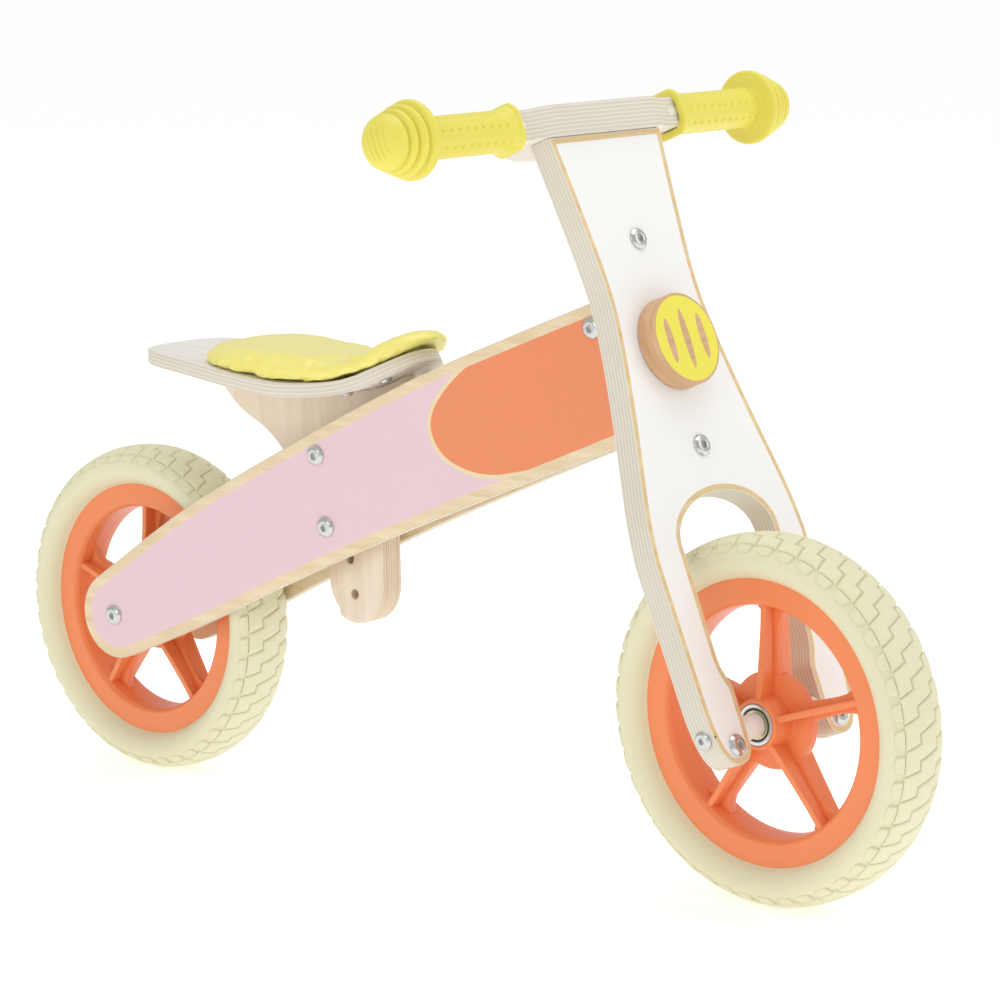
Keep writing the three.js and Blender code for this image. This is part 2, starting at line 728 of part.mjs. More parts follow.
function addFork(fork) {
  piece(fork, "fork_board", boardGeometry(), WHITE);
  const lamp = alongX(rod(LAMP_R, 0, LAMP_DEEP, 30));
  piece(fork, "headlight_disc", lamp, YELLOW, [PLY / 2 + GAP, 0, LAMP_V]);
  const lowTop = HEAD_LOW - WASHER - 2 * GAP;
  const highBottom = HEAD_HIGH + WASHER + 2 * GAP;
  const lower = pivotBlock(BLOCK_LOW, lowTop, LOWER_BOLT_V, PIN_LOW, 300);
  const upper = pivotBlock(highBottom, BLOCK_HIGH, UPPER_BOLT_V, 200, PIN_HIGH);
  piece(fork, "pivot_block_lower", lower, BARE_PLY);
  piece(fork, "pivot_block_upper", upper, BARE_PLY);
  const behind = [-PIN_BEHIND, 0, 0];
  piece(fork, "steering_pin", alongZ(rod(PIN_R, PIN_LOW, PIN_HIGH, 16)), STEEL, behind);
  const low = alongZ(tube(PIN_R + GAP, HEAD_R, lowTop + GAP, HEAD_LOW - GAP, 16));
  const high = alongZ(tube(PIN_R + GAP, HEAD_R, HEAD_HIGH + GAP, highBottom - GAP, 16));
  piece(fork, "thrust_washer_lower", low, NYLON, behind);
  piece(fork, "thrust_washer_upper", high, NYLON, behind);
  addForkBolt(fork, "fork_upper", UPPER_BOLT_V);
  addForkBolt(fork, "fork_lower", LOWER_BOLT_V);
  piece(fork, "handlebar", barGeometry(), WHITE);
  for (const [label, side] of SIDES) {
    piece(fork, "grip_" + label, onSide(gripGeometry(), side), YELLOW, [BAR_D, 0, BAR_V]);
  }
  addFrontAxle(fork);
}

// ---------------------------------------------------------------- rear axle

function addRearAxle(frame) {
  const seat = panelOuter(0) + BOLT_HEAD_R * Math.tan(SPLAY) + GAP;
  piece(frame, "rear_axle", rod(AXLE_R, -REAR_SPACER_END, REAR_SPACER_END, 14), STEEL, REAR_AXLE);
  const shank = seat - REAR_SPACER_END - GAP;
  for (const [label, side] of SIDES) {
    const bolt = onSide(buttonBolt(shank), side);
    piece(frame, "rear_axle_bolt_" + label, bolt, STEEL, [0, side * seat, WHEEL_R]);
  }
}

// ---------------------------------------------------------------- the whole bike

const bike = new THREE.Group();
bike.position.set(-WHEELBASE / 2, 0, 0);

const frame = new THREE.Group();
bike.add(frame);
for (const [label, side] of SIDES) {
  piece(frame, "panel_" + label, onSide(panelGeometry(), side), PINK);
}
HEAD_BOLTS.forEach((at, i) => addCrossBolt(frame, ["head_upper", "head_lower"][i], at));
addSeat(frame);
addRearAxle(frame);
addHubParts(frame, "rear", REAR_AXLE, REAR_SPACER_END);

const rakedFrame = new THREE.Group();
rakedFrame.position.set(...FRONT_AXLE);
rakedFrame.rotation.y = -RAKE;
bike.add(rakedFrame);
piece(rakedFrame, "head_tube", headTube(), STEEL);

const fork = new THREE.Group();
fork.position.set(...FRONT_AXLE);
fork.rotation.y = -RAKE;
bike.add(fork);
addFork(fork);
addHubParts(bike, "front", FRONT_AXLE, LEG_INNER - GAP);

bike.add(addWheel("rear", REAR_AXLE));
bike.add(addWheel("front", FRONT_AXLE));

export default bike;
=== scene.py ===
"""A child's wooden balance bike, finished in detail over its measured frame."""

import math

import bmesh
import bpy
import numpy as np
from mathutils import Matrix, Vector
from mathutils.geometry import delaunay_2d_cdt
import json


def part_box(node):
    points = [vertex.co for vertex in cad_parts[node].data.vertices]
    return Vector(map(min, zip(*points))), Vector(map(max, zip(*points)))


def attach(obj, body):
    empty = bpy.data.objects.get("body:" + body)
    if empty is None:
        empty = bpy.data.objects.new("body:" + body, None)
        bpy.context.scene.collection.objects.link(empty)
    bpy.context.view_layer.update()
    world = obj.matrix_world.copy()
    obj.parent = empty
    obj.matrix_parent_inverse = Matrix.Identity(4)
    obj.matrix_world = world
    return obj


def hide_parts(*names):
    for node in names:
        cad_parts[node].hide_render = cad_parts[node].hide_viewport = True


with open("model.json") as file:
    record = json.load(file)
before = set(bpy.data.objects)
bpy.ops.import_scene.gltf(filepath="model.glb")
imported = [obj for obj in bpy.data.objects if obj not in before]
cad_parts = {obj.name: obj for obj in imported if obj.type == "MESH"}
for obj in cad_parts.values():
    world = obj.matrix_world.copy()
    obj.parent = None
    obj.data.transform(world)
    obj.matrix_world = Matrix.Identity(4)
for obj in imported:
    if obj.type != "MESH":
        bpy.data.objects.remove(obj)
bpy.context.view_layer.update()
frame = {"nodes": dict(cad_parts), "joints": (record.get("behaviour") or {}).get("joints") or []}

# ------------------------------------------------------------------ where the two wheels are
# Every piece is set out in millimetres from one of the wheel centres, and then
# put in the row frame in metres. The fork leans back by the steering axis's angle.

rear_hub = (np.array(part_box("rear_rim")[0]) + np.array(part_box("rear_rim")[1])) / 2
front_hub = (np.array(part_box("front_rim")[0]) + np.array(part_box("front_rim")[1])) / 2
steering = next(j for j in frame["joints"] if j["name"] == "steering")
up_fork = np.array(steering["axis"], float)
up_fork /= np.linalg.norm(up_fork)
fork_ahead = np.cross([0.0, 1.0, 0.0], up_fork)


def on_bike(points):
    """Rows of x ahead of the rear axle, y to the left and z above the floor, in millimetres."""
    p = np.asarray(points, float) / 1000
    return np.column_stack((p[:, 0] + rear_hub[0], p[:, 1], p[:, 2]))


def on_fork(points):
    """Rows of distance ahead of the fork board, y, and distance up the fork from the front axle."""
    p = np.asarray(points, float) / 1000
    side = np.array([0.0, 1.0, 0.0])
    return front_hub + np.outer(p[:, 0], fork_ahead) + np.outer(p[:, 1], side) + np.outer(p[:, 2], up_fork)


def at_rear_hub(points):
    return np.asarray(points, float) / 1000 + rear_hub


def at_front_hub(points):
    return np.asarray(points, float) / 1000 + front_hub


# ------------------------------------------------------------------ wheel rims
# Five-spoke rims moulded in orange plastic: a U-shaped hoop that holds the tyre, a hub
# barrel with a round flange, and spokes made of a flat web crossed by a deep rib.


def linear(red, green, blue):
    """A colour given as 0 to 255 screen values, as Blender's linear colour."""
    share = np.array([red, green, blue]) / 255
    value = np.where(share <= 0.04045, share / 12.92, ((share + 0.055) / 1.055) ** 2.4)
    return (*value.tolist(), 1.0)


def add(tree, kind, links=None, **settings):
    """A node in a tree, with its settings and with values or links on its named or numbered inputs."""
    node = tree.nodes.new(kind)
    for name, value in settings.items():
        setattr(node, name, value)
    for name, value in (links or {}).items():
        if isinstance(value, bpy.types.NodeSocket):
            tree.links.new(value, node.inputs[name])
        else:
            node.inputs[name].default_value = value
    return node


def maths(tree, operation, *values, **settings):
    """The result of one sum on values or links."""
    links = dict(enumerate(values))
    return add(tree, "ShaderNodeMath", links, operation=operation, **settings).outputs[0]


def shader_group(name, takes, gives):
    """An empty shader node group with named inputs and outputs, and its two end nodes."""
    tree = bpy.data.node_groups.new(name, "ShaderNodeTree")
    for label, kind, value in takes:
        socket = tree.interface.new_socket(label, in_out="INPUT", socket_type=kind)
        if value is not None:
            socket.default_value = value
    for label, kind in gives:
        tree.interface.new_socket(label, in_out="OUTPUT", socket_type=kind)
    return tree, tree.nodes.new("NodeGroupInput"), tree.nodes.new("NodeGroupOutput")


FLOAT, COLOUR, VECTOR = "NodeSocketFloat", "NodeSocketColor", "NodeSocketVector"


def noise(tree, where, scale, detail, **links):
    """A noise texture's height at a place."""
    links = {"Vector": where, "Scale": scale, "Detail": detail, **links}
    return add(tree, "ShaderNodeTexNoise", links).outputs[0]


def mottle_group():
    """Slow patches of slightly lighter and darker colour, as on any moulded or painted surface."""
    takes = [("Vector", VECTOR, None), ("Colour", COLOUR, (1, 1, 1, 1)), ("Scale", FLOAT, 30),
             ("Amount", FLOAT, 0.03)]
    tree, start, end = shader_group("mottled_colour", takes, [("Colour", COLOUR)])
    vector, colour, scale, amount = start.outputs[:4]
    centred = maths(tree, "SUBTRACT", noise(tree, vector, scale, 3.0), 0.5)
    value = maths(tree, "ADD", maths(tree, "MULTIPLY", centred, amount), 1.0)
    tint = add(tree, "ShaderNodeHueSaturation", {"Value": value, "Color": colour})
    tree.links.new(tint.outputs[0], end.inputs[0])
    return tree


def skin_group():
    """The fine pebbled skin of a moulded surface, as a height, and the roughness it gives."""
    takes = [("Vector", VECTOR, None), ("Grain", FLOAT, 900), ("Roughness", FLOAT, 0.4),
             ("Spread", FLOAT, 0.08)]
    tree, start, end = shader_group("moulded_skin", takes, [("Height", FLOAT), ("Roughness", FLOAT)])
    vector, grain, roughness, spread = start.outputs[:4]
    centred = maths(tree, "SUBTRACT", noise(tree, vector, 45.0, 4.0), 0.5)
    rough = maths(tree, "ADD", maths(tree, "MULTIPLY", centred, spread), roughness)
    tree.links.new(noise(tree, vector, grain, 2.0), end.inputs[0])
    tree.links.new(rough, end.inputs[1])
    return tree


mottled, moulded = mottle_group(), skin_group()


def bare_material(name):
    """A new material with its tree and its one shader."""
    made = bpy.data.materials.new(name)
    made.use_nodes = True
    tree = made.node_tree
    shader = next(n for n in tree.nodes if n.type == "BSDF_PRINCIPLED")
    return made, tree, shader


def use_group(tree, group, links):
    return add(tree, "ShaderNodeGroup", links, node_tree=group)


def bump(tree, shader, height, depth, strength=1.0):
    """Presses a height into a shader's normal; depth in metres."""
    node = add(tree, "ShaderNodeBump", {"Height": height, "Distance": depth, "Strength": strength})
    tree.links.new(node.outputs[0], shader.inputs["Normal"])


def object_place(tree):
    return add(tree, "ShaderNodeTexCoord").outputs["Object"]


def dress(tree, shader, tint_links, skin_links):
    """Gives a shader mottled colour and a moulded roughness, and hands back the skin's height."""
    where = object_place(tree)
    tint = use_group(tree, mottled, {"Vector": where, **tint_links})
    skin = use_group(tree, moulded, {"Vector": where, **skin_links})
    tree.links.new(tint.outputs["Colour"], shader.inputs["Base Color"])
    tree.links.new(skin.outputs["Roughness"], shader.inputs["Roughness"])
    return skin.outputs["Height"]


def moulding(name, colour, roughness, grain, depth, coat=0.0, amount=0.05, glow=0.0):
    """A moulded plastic, foam or rubber: mottled colour and a fine pebbled skin."""
    made, tree, shader = bare_material(name)
    height = dress(tree, shader, {"Colour": colour, "Scale": 28.0, "Amount": amount},
                   {"Grain": grain, "Roughness": roughness})
    bump(tree, shader, height, depth)
    shader.inputs["Coat Weight"].default_value = coat
    shader.inputs["Coat Roughness"].default_value = 0.25
    if glow:
        shader.inputs["Subsurface Weight"].default_value = glow
        shader.inputs["Subsurface Radius"].default_value = (0.004, 0.003, 0.002)
        shader.inputs["Subsurface Scale"].default_value = 0.5
    return made


rim_plastic = moulding("orange_rim_plastic", linear(240, 136, 80), 0.4, 1400.0, 0.00004, coat=0.15)


def shape_of(name, verts, faces, materials, slots=None, uvs=None, smooth_angle=38):
    """One mesh object from vertices in metres, with its normals out and its sharp edges kept."""
    mesh = bpy.data.meshes.new(name)
    mesh.from_pydata([tuple(v) for v in verts], [], faces)
    for material in materials:
        mesh.materials.append(material)
    if slots is not None:
        mesh.polygons.foreach_set("material_index", slots)
    if uvs is not None:
        layer = mesh.uv_layers.new(name="board")
        layer.data.foreach_set("uv", np.asarray(uvs, np.float32).ravel())
    work = bmesh.new()
    work.from_mesh(mesh)
    bmesh.ops.remove_doubles(work, verts=work.verts, dist=2e-7)
    bmesh.ops.delete(work, geom=[v for v in work.verts if not v.link_faces], context="VERTS")
    bmesh.ops.recalc_face_normals(work, faces=work.faces)
    work.to_mesh(mesh)
    work.free()
    mesh.shade_smooth()
    mesh.set_sharp_from_angle(angle=math.radians(smooth_angle))
    made = bpy.data.objects.new(name, mesh)
    bpy.context.scene.collection.objects.link(made)
    return made


def joined(pieces):
    """Several shape lists as one: each is (verts, faces, slots), closed by itself."""
    verts, faces, slots = [], [], []
    for part_verts, part_faces, slot in pieces:
        start = len(verts)
        verts.extend(map(tuple, part_verts))
        faces.extend([tuple(i + start for i in face) for face in part_faces])
        slots.extend([slot] * len(part_faces))
    return verts, faces, slots


def soften(rows, radius, steps=4):
    """A profile with its inner corners rounded off."""
    rows = [np.array(row, float) for row in rows]
    smooth = [rows[0]]
    for before, corner, after in zip(rows, rows[1:], rows[2:]):
        back, ahead = before - corner, after - corner
        reach = min(radius, 0.45 * np.linalg.norm(back), 0.45 * np.linalg.norm(ahead))
        first = corner + back / np.linalg.norm(back) * reach
        last = corner + ahead / np.linalg.norm(ahead) * reach
        for step in range(steps + 1):
            t = step / steps
            smooth.append((1 - t) ** 2 * first + 2 * t * (1 - t) * corner + t * t * last)
    smooth.append(rows[-1])
    return smooth


def walls(start, count, levels):
    """Quads between rings of points that follow each other in a list of vertices."""
    faces = []
    for low in range(start, start + (levels - 1) * count, count):
        high = low + count
        faces += [(low + i, low + (i + 1) % count, high + (i + 1) % count, high + i) for i in range(count)]
    return faces


def turned(rows, segments=64, slot=0):
    """A piece turned round the Y axis from rows of radius and place along Y."""
    verts, rings, faces = [], [], []
    for radius, along in rows:
        start = len(verts)
        if radius < 1e-6:
            verts.append((0.0, along, 0.0))
            rings.append([start] * segments)
            continue
        for i in range(segments):
            turn = 2 * math.pi * i / segments
            verts.append((radius * math.cos(turn), along, radius * math.sin(turn)))
        rings.append(list(range(start, start + segments)))
    for low, high in zip(rings, rings[1:]):
        for i in range(segments):
            j = (i + 1) % segments
            corners = [low[i], low[j], high[j], high[i]]
            face = tuple(dict.fromkeys(corners))
            if len(face) > 2:
                faces.append(face)
    return np.array(verts), faces, slot


def ring_rows(rows, radius):
    """A closed ring profile, rounded at every corner."""
    wrapped = [rows[-1], *rows, rows[0]]
    smooth = soften(wrapped, radius)[1:-1]
    return [*smooth, smooth[0]]


RIM_R, RIM_HALF = 97.0, 15.5
HUB_R, HUB_HALF = 18.0, 21.0
FLANGE_R, FLANGE_HALF = 33.0, 4.0
BEARING_R, BEARING_W = 14.0, 8.0


def rim_hoop():
    """The hoop, from rows on its left half: a rounded inside, flat flanges and the tyre's channel."""
    half = [(89.0, 11.6), (RIM_R, 12.0), (RIM_R, RIM_HALF), (81.0, RIM_HALF), (78.6, 12.5), (77.4, 5.0)]
    other = [(radius, -along) for radius, along in half[::-1]]
    return turned(ring_rows(other + half, 1.1), 128)


def rim_hub():
    """The tapered barrel with its round flange, open for the axle and stepped for the bearings."""
    seat, seat_r = HUB_HALF - BEARING_W, BEARING_R + 0.15
    half = [(FLANGE_R, FLANGE_HALF), (HUB_R + 0.8, FLANGE_HALF), (HUB_R - 1.2, HUB_HALF), (seat_r, HUB_HALF),
            (seat_r, seat), (10.0, seat)]
    other = [(radius, -along) for radius, along in half[::-1]]
    return turned(ring_rows(other + half, 0.9), 72)


def lofted(sections):
    """A closed solid through several like rings of points."""
    count, levels = len(sections[0]), len(sections)
    verts = np.concatenate([np.asarray(section, float) for section in sections])
    ends = [tuple(range(count))[::-1], tuple(range((levels - 1) * count, levels * count))]
    return verts, walls(0, count, levels) + ends, 0


def rounded_box_ring(half_x, half_y, radius):
    """A rounded rectangle's points round the Z axis."""
    ring, corner_steps = [], 3
    for quarter, (sx, sy) in enumerate([(1, 1), (-1, 1), (-1, -1), (1, -1)]):
        for step in range(corner_steps + 1):
            turn = (quarter + step / corner_steps) * math.pi / 2
            ring.append((sx * (half_x - radius) + radius * math.cos(turn),
                         sy * (half_y - radius) + radius * math.sin(turn)))
    return ring


def spoke_parts():
    """One spoke up the Z axis: a flat web that flares at both ends, and the rib that crosses it."""
    web = [(16.0, 12.5), (24.0, 8.6), (38.0, 6.2), (55.0, 5.6), (66.0, 6.4), (73.0, 9.0), (77.5, 14.0),
           (79.5, 19.0)]
    rib = [(15.0, 19.0), (24.0, 17.0), (45.0, 14.6), (65.0, 12.8), (79.0, 12.4)]
    web_half, rib_half = 3.4, 2.3
    webs = [[(x, y, z) for x, y in rounded_box_ring(half, web_half, 1.0)] for z, half in web]
    ribs = [[(x, y, z) for x, y in rounded_box_ring(rib_half, half, 0.9)] for z, half in rib]
    return [lofted(webs), lofted(ribs)]


def copies_tree(name, takes):
    """An empty geometry node tree that takes a mesh, named inputs and a finish, and gives a mesh."""
    tree = bpy.data.node_groups.new(name, "GeometryNodeTree")
    for label, kind in (("Geometry", "Geometry"), *takes, ("Finish", "Material")):
        tree.interface.new_socket(label, in_out="INPUT", socket_type="NodeSocket" + kind)
    tree.interface.new_socket("Geometry", in_out="OUTPUT", socket_type="NodeSocketGeometry")
    return tree, tree.nodes.new("NodeGroupInput"), tree.nodes.new("NodeGroupOutput")


def set_copies(tree, start, end, links):
    """Copies on points, made real and given their finish, as the tree's mesh."""
    copies = add(tree, "GeometryNodeInstanceOnPoints", links)
    real = add(tree, "GeometryNodeRealizeInstances", {"Geometry": copies.outputs[0]})
    dressed = {"Geometry": real.outputs[0], "Material": start.outputs["Finish"]}
    tree.links.new(add(tree, "GeometryNodeSetMaterial", dressed).outputs[0], end.inputs[0])
    return tree


def round_axle_tree():
    """Geometry nodes: copies of the modified mesh set round the Y axis at even steps."""
    takes = [("Copies", "Int"), ("First turn", "Float")]
    tree, start, end = copies_tree("copies_round_axle", takes)
    count = start.outputs["Copies"]
    points = add(tree, "GeometryNodePoints", {"Count": count})
    index = add(tree, "GeometryNodeInputIndex")
    turn = maths(tree, "MULTIPLY", index.outputs[0], maths(tree, "DIVIDE", 2 * math.pi, count))
    total = maths(tree, "ADD", turn, start.outputs["First turn"])
    spin = add(tree, "ShaderNodeCombineXYZ", {"Y": total})
    return set_copies(tree, start, end, {
        "Points": points.outputs[0], "Instance": start.outputs["Geometry"], "Rotation": spin.outputs[0]})


copies_round_axle = round_axle_tree()


def with_nodes(made, tree, values):
    """The mesh that a geometry node tree makes of an object, as plain vertices and faces."""
    modifier = made.modifiers.new("nodes", "NODES")
    modifier.node_group = tree
    sockets = {s.name: s.identifier for s in tree.interface.items_tree if s.in_out == "INPUT"}
    for name, value in values.items():
        modifier[sockets[name]] = value
    graph = bpy.context.evaluated_depsgraph_get()
    mesh = bpy.data.meshes.new_from_object(made.evaluated_get(graph))
    bpy.data.objects.remove(made)
    verts = np.zeros(len(mesh.vertices) * 3)
    mesh.vertices.foreach_get("co", verts)
    faces = [tuple(p.vertices) for p in mesh.polygons]
    return verts.reshape(-1, 3), faces


def round_axle(parts, copies, finish, first_turn=0.0):
    """Copies of a piece round the Y axis, in millimetres."""
    verts, faces, _ = joined(parts)
    piece = shape_of("piece_round_axle", verts, faces, [finish])
    values = {"Copies": copies, "First turn": first_turn, "Finish": finish}
    return with_nodes(piece, copies_round_axle, values)


SPOKES = 5


def make_rim(name, place):
    spokes = round_axle(spoke_parts(), SPOKES, rim_plastic)
    verts, faces, slots = joined([rim_hoop(), rim_hub(), (*spokes, 0)])
    made = shape_of(name + "_rim_moulding", place(verts), faces, [rim_plastic], slots, smooth_angle=34)
    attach(made, name + "_wheel")
    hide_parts(name + "_rim")


make_rim("rear", at_rear_hub)
make_rim("front", at_front_hub)


# ------------------------------------------------------------------ tyres
# Closed foam tyres in pale cream: a smooth side wall, then a crowned tread cut by thin
# stepped grooves into interlocking blocks, with small lugs on the shoulders.

tyre_foam = moulding("cream_tyre_foam", linear(227, 224, 190), 0.62, 2200.0, 0.00005, amount=0.04, glow=0.12)

TYRE_OUTLINE = [
    (97.0, 15.4), (99.6, 20.0), (103.6, 23.6), (108.6, 25.6), (113.4, 25.0), (117.6, 22.6), (121.2, 18.2),
    (123.6, 12.0), (124.8, 5.4), (125.0, 0.0),
]
TYRE_R = TYRE_OUTLINE[-1][0]
GROOVE_DEEP, GROOVE_WIDE = 1.7, 1.2
TREAD_COUNT, TREAD_HALF = 44, 21.0
# A block's lower side, from the tyre's right to its left: distance along the tyre and across it.
BLOCK_STEPS = [(0.0, -TREAD_HALF), (-4.4, -8.4), (-10.8, -8.4), (-16.6, 8.4), (-23.0, 8.4),
               (-27.4, TREAD_HALF)]
LUG_REACH, LUG_LONG, LUG_RISE = 7.6, 13.4, 0.25


def spline(points, steps):
    """A smooth curve through points, with that many steps between neighbours."""
    p = [np.array(q, float) for q in points]
    p = [p[0], *p, p[-1]]
    curve = []
    for a, b, c, d in zip(p, p[1:], p[2:], p[3:]):
        for step in range(steps):
            t = step / steps
            slope_b, slope_c = (c - a) / 2, (d - b) / 2
            h = (2 * t**3 - 3 * t**2 + 1, t**3 - 2 * t**2 + t, 3 * t**2 - 2 * t**3, t**3 - t**2)
            curve.append(h[0] * b + h[1] * slope_b + h[2] * c + h[3] * slope_c)
    curve.append(p[-2])
    return np.array(curve)


def run_along(points):
    """Each point's distance along a line of points."""
    return np.concatenate([[0], np.cumsum(np.linalg.norm(np.diff(points, axis=0), axis=1))])


def anticlockwise(loop):
    ahead = np.roll(loop, -1, 0)
    return loop[::-1] if np.sum(loop[:, 0] * ahead[:, 1] - ahead[:, 0] * loop[:, 1]) < 0 else loop


class TreadProfile:
    """The tyre's outer outline, read by distance from the middle of the tread."""

    def __init__(self):
        half = spline(TYRE_OUTLINE, 6)[::-1]
        self.reach = run_along(half)
        self.half = half
        slope = np.gradient(half, self.reach, axis=0)
        self.out = np.column_stack((slope[:, 1], -slope[:, 0]))
        self.out /= np.linalg.norm(self.out, axis=1)[:, None]

    def at(self, across, rise):
        """Radius and Y of points at a distance across the tread and a height above the outline."""
        far, side = np.abs(across), np.sign(across)
        radius, y = (np.interp(far, self.reach, self.half[:, k]) for k in (0, 1))
        out_r, out_y = (np.interp(far, self.reach, self.out[:, k]) for k in (0, 1))
        return radius + rise * out_r, side * (y + rise * out_y)


tread = TreadProfile()


def tyre_body():
    """The tyre under its tread blocks: the outline, sunk between the blocks by the groove's depth."""
    edge = tread.reach[-1]
    across = np.linspace(-edge, edge, 97)
    sunk = np.clip((TREAD_HALF + LUG_REACH - np.abs(across)) / 3.0, 0, 1)
    radius, y = tread.at(across, -GROOVE_DEEP * sunk)
    bead_r, bead_half = 90.5, 11.0
    rows = [(bead_r, bead_half), *zip(radius[::-1], y[::-1]), (bead_r, -bead_half), (bead_r, bead_half)]
    return turned(rows, 4 * TREAD_COUNT)


def stepped_block():
    """One tread block's outline, along the tyre and across it."""
    low = np.array(BLOCK_STEPS)
    return np.vstack((low, low[::-1] + (2 * math.pi * TYRE_R / TREAD_COUNT, 0)))


def set_in(loop, inset):
    """A closed anticlockwise loop moved inwards with its corners kept."""
    before, after = loop - np.roll(loop, 1, 0), np.roll(loop, -1, 0) - loop
    before /= np.linalg.norm(before, axis=1)[:, None]
    after /= np.linalg.norm(after, axis=1)[:, None]
    normal_a = np.column_stack((-before[:, 1], before[:, 0]))
    normal_b = np.column_stack((-after[:, 1], after[:, 0]))
    middle = normal_a + normal_b
    scale = inset / np.maximum(1 + np.sum(normal_a * normal_b, axis=1), 0.35)
    return loop + middle * scale[:, None]


def inside(points, loop):
    """Which points lie inside a closed loop."""
    x, y = points[:, 0][:, None], points[:, 1][:, None]
    x0, y0 = loop[:, 0], loop[:, 1]
    x1, y1 = np.roll(x0, -1), np.roll(y0, -1)
    rise = np.where(np.abs(y1 - y0) < 1e-12, 1e-12, y1 - y0)
    crosses = ((y0 > y) != (y1 > y)) & (x < (x1 - x0) * (y - y0) / rise + x0)
    return crosses.sum(axis=1) % 2 == 1


def fill(loops, lines=()):
    """Triangles over the hull of closed loops and open lines, as points and faces."""
    points, edges = [], []
    for loop in loops:
        start = len(points)
        points += [Vector(p) for p in loop]
        edges += [(start + i, start + (i + 1) % len(loop)) for i in range(len(loop))]
    for line in lines:
        start = len(points)
        points += [Vector(p) for p in line]
        edges += [(start + i, start + i + 1) for i in range(len(line) - 1)]
    found = delaunay_2d_cdt(points, edges, [], 0, 1e-5)
    return np.array([tuple(p) for p in found[0]]), [tuple(f) for f in found[2]]


def divide(loop, longest):
    """A closed loop with extra points so that no side is longer than asked."""
    out = []
    for a, b in zip(loop, np.roll(loop, -1, 0)):
        parts = max(1, int(math.ceil(np.linalg.norm(b - a) / longest)))
        out += [a + (b - a) * i / parts for i in range(parts)]
    return np.array(out)


def tread_block(outline, rise=0.0):
    """A block that stands on the sunk tyre: its curved top, chamfered edge and walls."""
    side = GROOVE_WIDE / 2
    levels = [(side + 1.0, rise), (side + 0.3, rise - 0.35), (side, rise - 0.9),
              (side - 0.3, rise - GROOVE_DEEP - 0.6)]
    dense = divide(anticlockwise(outline), 4.0)
    rings = [set_in(dense, inset) for inset, _ in levels]
    low, high = outline.min(axis=0) - 1, outline.max(axis=0) + 1
    grid = 3.5
    lines = [[(low[0], a), (high[0], a)] for a in np.arange(low[1] + 1, high[1], grid)]
    lines += [[(a, low[1]), (a, high[1])] for a in np.arange(low[0] + 1, high[0], grid)]
    flat, faces = fill([rings[0]], lines)
    middles = np.array([flat[list(f)].mean(axis=0) for f in faces])
    faces = [f for f, good in zip(faces, inside(middles, rings[0])) if good]
    sheet = [np.column_stack((flat, np.full(len(flat), levels[0][1])))]
    for ring, (_, height) in zip(rings, levels):
        sheet.append(np.column_stack((ring, np.full(len(ring), height))))
    faces += walls(len(flat), len(dense), len(rings))
    along, across, height = np.concatenate(sheet).T
    radius, y = tread.at(across, height)
    turn = along / TYRE_R
    return np.column_stack((radius * np.sin(turn), y, radius * np.cos(turn))), faces, 0


def shoulder_lugs():
    """A rounded lug at each end of a block, which carries it over the tyre's shoulder."""
    lugs = []
    for side, (start, _) in ((-1, BLOCK_STEPS[0]), (1, BLOCK_STEPS[-1])):
        near, far = side * (TREAD_HALF - 0.8), side * (TREAD_HALF + LUG_REACH)
        low, high = start + 2.2, start + 2.2 + LUG_LONG  # along the tyre
        loop = np.array([(low, near), (high, near), (high - 0.8, far - side * 2), (high - 3.5, far),
                         (low + 3.5, far), (low + 0.8, far - side * 2)])
        lugs.append(tread_block(loop, LUG_RISE))
    return lugs


def make_tyre(name, place, first_turn):
    blocks = round_axle([tread_block(stepped_block()), *shoulder_lugs()], TREAD_COUNT, tyre_foam, first_turn)
    verts, faces, slots = joined([tyre_body(), (*blocks, 0)])
    made = shape_of(name + "_tyre_foam", place(verts), faces, [tyre_foam], slots, smooth_angle=30)
    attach(made, name + "_wheel")
    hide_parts(name + "_tyre")


make_tyre("rear", at_rear_hub, 0.03)
make_tyre("front", at_front_hub, 0.0)


# ------------------------------------------------------------------ hub bearings, spacers and axles
# A sealed steel ball bearing pressed into each side of a hub, a white nylon spacer beside
# it, and a steel axle bolt through the middle.

nylon = moulding("white_nylon", linear(240, 238, 232), 0.4, 1500.0, 0.00003)
seal_rubber = moulding("bearing_seal", linear(70, 62, 48), 0.5, 2500.0, 0.00003)


def steel_material(name, colour, roughness):
    """Bright zinc plate with faint turning marks and slow patches of dullness."""
    made, tree, shader = bare_material(name)
    height = dress(tree, shader, {"Colour": colour, "Scale": 160.0, "Amount": 0.12},
                   {"Grain": 2600.0, "Roughness": roughness, "Spread": 0.2})
    bump(tree, shader, height, 0.00003)
    shader.inputs["Metallic"].default_value = 1.0
    return made


zinc = steel_material("zinc_plated_steel", linear(205, 206, 204), 0.24)
brassy = steel_material("bearing_ring_steel", linear(196, 188, 160), 0.26)


def mirrored(part, side):
    verts, faces, slot = part
    return np.asarray(verts) * (1, side, 1), faces, slot


